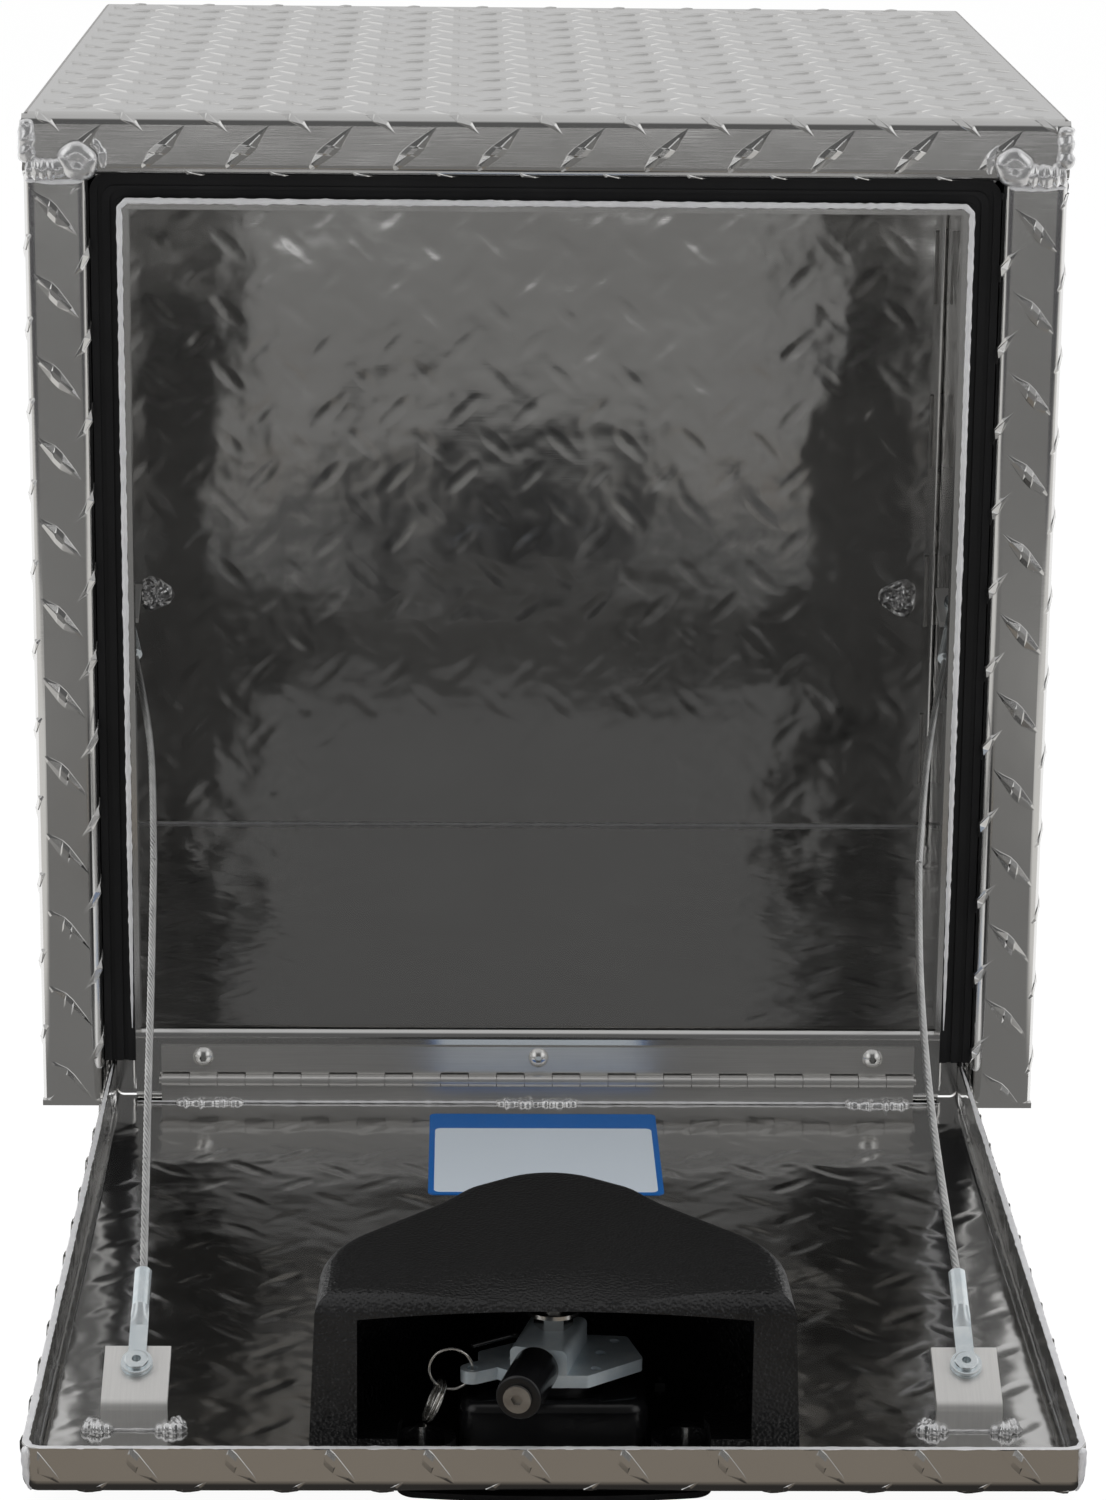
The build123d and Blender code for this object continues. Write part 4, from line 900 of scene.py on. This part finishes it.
def rope_line(name, route):
    """Distances and points along the smooth curve of a rope's route."""
    curve = bpy.data.curves.new(name + "_route", "CURVE")
    curve.dimensions = "3D"
    spline = curve.splines.new("NURBS")
    spline.points.add(len(route) - 1)
    for point, place in zip(spline.points, route):
        point.co = (*place, 1.0)
    spline.order_u = 3
    spline.use_endpoint_u = True
    spline.resolution_u = 40
    guide = bpy.data.objects.new(name + "_route", curve)
    bpy.context.scene.collection.objects.link(guide)
    line = np.array([tuple(vertex.co) for vertex in plain_mesh(guide).vertices])
    bpy.data.objects.remove(guide)
    spans = lengths_along(line)
    station_gap = 0.0009
    along = np.linspace(0, spans[-1], int(spans[-1] / station_gap))
    return along, points_at(along, spans, line)


def strands(along, line, sides=8):
    """Points and faces of six strands round a straight one."""
    tangent = unit(np.gradient(line, axis=0))
    side = unit(np.cross(tangent, (0.0, 0.0, 1.0)))
    up = np.cross(side, tangent)
    parts = []
    for strand in range(7):
        reach = 0.0 if strand == 6 else rope_radius - strand_radius
        angle = strand * math.pi / 3 + 2 * math.pi * along / lay_length
        centre = line + (side * np.cos(angle)[:, None] + up * np.sin(angle)[:, None]) * reach
        rings = []
        for turn in np.linspace(0, 2 * math.pi, sides, endpoint=False):
            rings.append(centre + (side * math.cos(turn) + up * math.sin(turn)) * strand_radius)
        parts.append((np.stack(rings, 1).reshape(-1, 3), tube_faces(len(along), sides)))
    return gather(parts)


for name, (body, route) in ropes.items():
    points, faces = strands(*rope_line(name, route))
    piece = add_piece(name + "_strands", body, points, faces, rope_look)
    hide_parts(name)


# Latch shroud: a black moulded cover with a leather grain, smooth on its flat crown, pushed over
# two studs through its ears.


def plastic_look(name, tone_low, tone_high, rough, grain_depth, grain_scale):
    look, shader, place = new_look(name)
    inputs = {"Vector": place, "Scale": grain_scale}
    cells = place.node("ShaderNodeTexVoronoi", inputs, "Distance", feature="SMOOTH_F1")
    soft = place.noise(grain_scale * 0.6, 3.0)
    scuff = place.noise(30.0, 5.0, 0.65)
    facing = Wire(place.tree, place.tree.nodes["Texture Coordinate"].outputs["Normal"])
    crown = ((facing.axis(2) - 0.9) * 12).clamp()
    grain = (cells + soft * 0.6) * (1 - crown * 0.55)
    tone = (scuff * 1.6 - 0.4 - crown).clamp().mix((*tone_low, 1), (*tone_high, 1))
    normal = place.bump(grain, grain_depth)
    rough = rough + scuff * 0.14
    constants = {"Specular IOR Level": 0.5}
    return finish_look(look, shader, constants, Base_Color=tone, Roughness=rough, Normal=normal)


shroud_low, shroud_high = (0.0025, 0.0025, 0.0028), (0.020, 0.020, 0.021)
shroud_look = plastic_look("shroud_plastic", shroud_low, shroud_high, 0.27, 0.0007, 850.0)
dress(shroud_look, "latch_shroud")


# Latch: a pressed black dish with a bearing boss; on the spindle a bluish zinc cam plate and its
# channel, which carries a black striker roller on a socket-head pin.

moulding_low, moulding_high = (0.004, 0.004, 0.0045), (0.012, 0.012, 0.013)
moulding_look = plastic_look("black_moulding", moulding_low, moulding_high, 0.16, 0.00004, 500.0)
dress(moulding_look, "latch_dish", "latch_boss", "striker_roller", "key_tie", "t_handle")
plate_look = zinc_look("cam_zinc", (0.86, 0.92, 0.95), (0.60, 0.71, 0.78), 0.30, 0.55)
dress(plate_look, "cam_plate", "cam_channel", "lock_plug")
black_oxide = zinc_look("black_oxide", (0.060, 0.060, 0.062), (0.025, 0.025, 0.026), 0.38)
dress(black_oxide, "dish_screws", "dish_nuts")
pin_look = zinc_look("pin_steel", (0.50, 0.48, 0.45), (0.24, 0.22, 0.20), 0.26)
dress(pin_look, "roller_pin")


# Key rings: a wire ring through the cam plate's lobe and a doubled split ring that hangs from it.

ring_look = zinc_look("ring_steel", (0.90, 0.88, 0.84), (0.66, 0.64, 0.60), 0.10)
dress(ring_look, "key_ring", "split_ring")


# Floor and light: a pale floor, a soft light above and one at each side. The metal also sees
# painted reflections of a studio, glows that light nothing: a dark front, a pale back wall, a strip
# light and a soft box at each side, and a grey card on the floor.


def stage_mesh(name, mesh, glow_of):
    """A stage piece that glows by a formula of its place: a painted reflection, seen only by the metal, that
    lights nothing and casts no shadow.
    """
    look = bpy.data.materials.new(name)
    look.use_nodes = True
    tree = look.node_tree
    tree.nodes.clear()
    place = Wire(tree, tree.nodes.new("ShaderNodeTexCoord").outputs["Object"])
    surface = place.node("ShaderNodeEmission", {"Color": glow_of(place), "Strength": 1.0})
    output = tree.nodes.new("ShaderNodeOutputMaterial")
    tree.links.new(surface.socket, output.inputs["Surface"])
    mesh.materials.append(look)
    piece = bpy.data.objects.new(name, mesh)
    bpy.context.scene.collection.objects.link(piece)
    piece.visible_camera = False
    piece.visible_shadow = False
    piece.visible_diffuse = False


def background_rays(tree):
    """One for the rays that see the white background."""
    rays = tree.nodes.new("ShaderNodeLightPath")
    kinds = ("Is Camera Ray", "Is Glossy Ray", "Is Transmission Ray")
    camera_ray, glossy_ray, transmission_ray = (Wire(tree, rays.outputs[kind]) for kind in kinds)
    return (camera_ray + glossy_ray + transmission_ray).clamp()


def sheet_mesh(name, half_x, near, far, level):
    mesh = bpy.data.meshes.new(name)
    corners = [(-half_x, near, level), (half_x, near, level), (half_x, far, level), (-half_x, far, level)]
    mesh.from_pydata(corners, [], [(3, 2, 1, 0)])
    return mesh


def card_glow(place):
    """Painted reflection of the floor, seen only by the metal: neutral grey, darker far to the sides, bright
    beside the open door, with a warm strip before it and a painted shadow, dark, under its edge."""
    away = abs(place.axis(0))
    edge = ((away - 0.55) * 2.2).clamp()
    beside = ((away - 0.30) * 7.0).clamp() * ((place.axis(1) + 1.30) * 2.5).clamp()
    grey = edge.mix((0.178, 0.176, 0.172, 1), (0.075, 0.074, 0.078, 1))
    grey = beside.mix(grey, (0.66, 0.65, 0.63, 1))
    before_door = (away < 0.24) * (place.axis(1) > -0.80) * (place.axis(1) < -0.62)
    # Painted shadow: the card turns dark under the door's free edge, where the door shades the floor.
    painted_door_shadow = ((place.axis(1) + 0.662) * 70.0).clamp()
    warm = painted_door_shadow.mix((0.208, 0.182, 0.152, 1), (0.030, 0.028, 0.026, 1))
    return before_door.mix(grey, warm)


def dome_glow(place):
    """Painted reflections of a studio seen from the box, lighting nothing: dark ahead, pale behind and
    overhead, a strip light and a soft box at each side.
    """
    way = place.node("ShaderNodeVectorMath", {0: place}, operation="NORMALIZE")
    behind = (way.axis(1) * 1.6 + 0.25).clamp()
    overhead = ((way.axis(2) - 0.62) * 5.0).clamp() * (1 - behind)
    # Painted reflections of a strip light and a soft box at each side: bright glows that light nothing.
    strip = ((abs(way.axis(0)) - 0.44) * 5.0).clamp() * ((way.axis(2) + 0.3) * 4.0).clamp()
    box = ((abs(way.axis(0)) * 0.66 - way.axis(1) * 0.62 + way.axis(2) * 0.42 - 0.91) * 16.0).clamp()
    tone = 0.105 + behind * 0.47 + overhead * 0.42 + strip * 0.32 + box * 0.5
    return place.node("ShaderNodeCombineColor", {0: tone, 1: tone, 2: tone})


floor_level = -0.4665
floor_reach = 30.0
floor_mesh = sheet_mesh("floor", floor_reach, -floor_reach, floor_reach, floor_level)
floor_mesh.flip_normals()
floor = bpy.data.objects.new("floor", floor_mesh)
bpy.context.scene.collection.objects.link(floor)
floor_look = bpy.data.materials.new("floor")
floor_look.use_nodes = True
tree = floor_look.node_tree
tree.nodes.clear()
wire = Wire(tree, None)
matt = wire.node("ShaderNodeBsdfDiffuse", {"Color": (0.86, 0.86, 0.86, 1)})
glow = wire.node("ShaderNodeEmission", {"Color": (1, 1, 1, 1), "Strength": 1.13})
mixed = wire.node("ShaderNodeMixShader", {0: background_rays(tree) * 0.84, 1: matt, 2: glow})
output = tree.nodes.new("ShaderNodeOutputMaterial")
tree.links.new(mixed.socket, output.inputs["Surface"])
floor_mesh.materials.append(floor_look)

card_reach = 5.0
card_lift = 0.0003
card_mesh = sheet_mesh("card", card_reach, -card_reach, -half_box / 1000, floor_level + card_lift)
stage_mesh("card", card_mesh, card_glow)
dome_radius = 12.0
dome_form = bmesh.new()
bmesh.ops.create_icosphere(dome_form, subdivisions=4, radius=dome_radius)
dome_mesh = bpy.data.meshes.new("dome")
dome_form.to_mesh(dome_mesh)
dome_form.free()
stage_mesh("dome", dome_mesh, dome_glow)

world = bpy.context.scene.world or bpy.data.worlds.new("world")
bpy.context.scene.world = world
world.use_nodes = True
tree = world.node_tree
tree.nodes.clear()
wire = Wire(tree, None)
seen = background_rays(tree).mix((0.32, 0.32, 0.32, 1), (1.0, 1.0, 1.0, 1))
background = wire.node("ShaderNodeBackground", {"Color": seen, "Strength": 1.0})
output = tree.nodes.new("ShaderNodeOutputWorld")
tree.links.new(background.socket, output.inputs["Surface"])

lamps = (
    ("top_light", (0.0, -0.15, 1.5), (0.0, 0.0, 0.0), 1.7, 1.3, 16.0),
    ("left_light", (-1.7, -1.3, 0.4), (0.0, 0.0, -0.3), 0.5, 1.6, 9.0),
    ("right_light", (1.7, -1.3, 0.4), (0.0, 0.0, -0.3), 0.5, 1.6, 9.0),
)
for name, place, target, wide, high, power in lamps:
    lamp = bpy.data.lights.new(name, "AREA")
    lamp.shape = "RECTANGLE"
    lamp.size = wide
    lamp.size_y = high
    lamp.energy = power
    holder = bpy.data.objects.new(name, lamp)
    holder.location = place
    holder.rotation_euler = (Vector(place) - Vector(target)).to_track_quat("Z", "Y").to_euler()
    holder.visible_glossy = False
    bpy.context.scene.collection.objects.link(holder)


# Camera: a long lens a little above the box, where the photograph was taken from.

camera = bpy.data.cameras.new("camera")
camera.sensor_width = 36.0
camera.lens = 105.42
pitch = 0.2695
yaw = -0.0212
roll = 0.0103
right = Vector((math.cos(yaw), math.sin(yaw), 0))
forward = Vector((-math.sin(yaw) * math.cos(pitch), math.cos(yaw) * math.cos(pitch), -math.sin(pitch)))
up = right.cross(forward)
across = right * math.cos(roll) + up * math.sin(roll)
upward = up * math.cos(roll) - right * math.sin(roll)
eye = (-0.03543, -2.14313, 0.24301)
viewer = bpy.data.objects.new("camera", camera)
viewer.matrix_world = Matrix(
    (
        (across.x, upward.x, -forward.x, eye[0]),
        (across.y, upward.y, -forward.y, eye[1]),
        (across.z, upward.z, -forward.z, eye[2]),
        (0, 0, 0, 1),
    )
)
bpy.context.scene.collection.objects.link(viewer)
bpy.context.scene.camera = viewer
bpy.context.scene.view_settings.view_transform = "Standard"
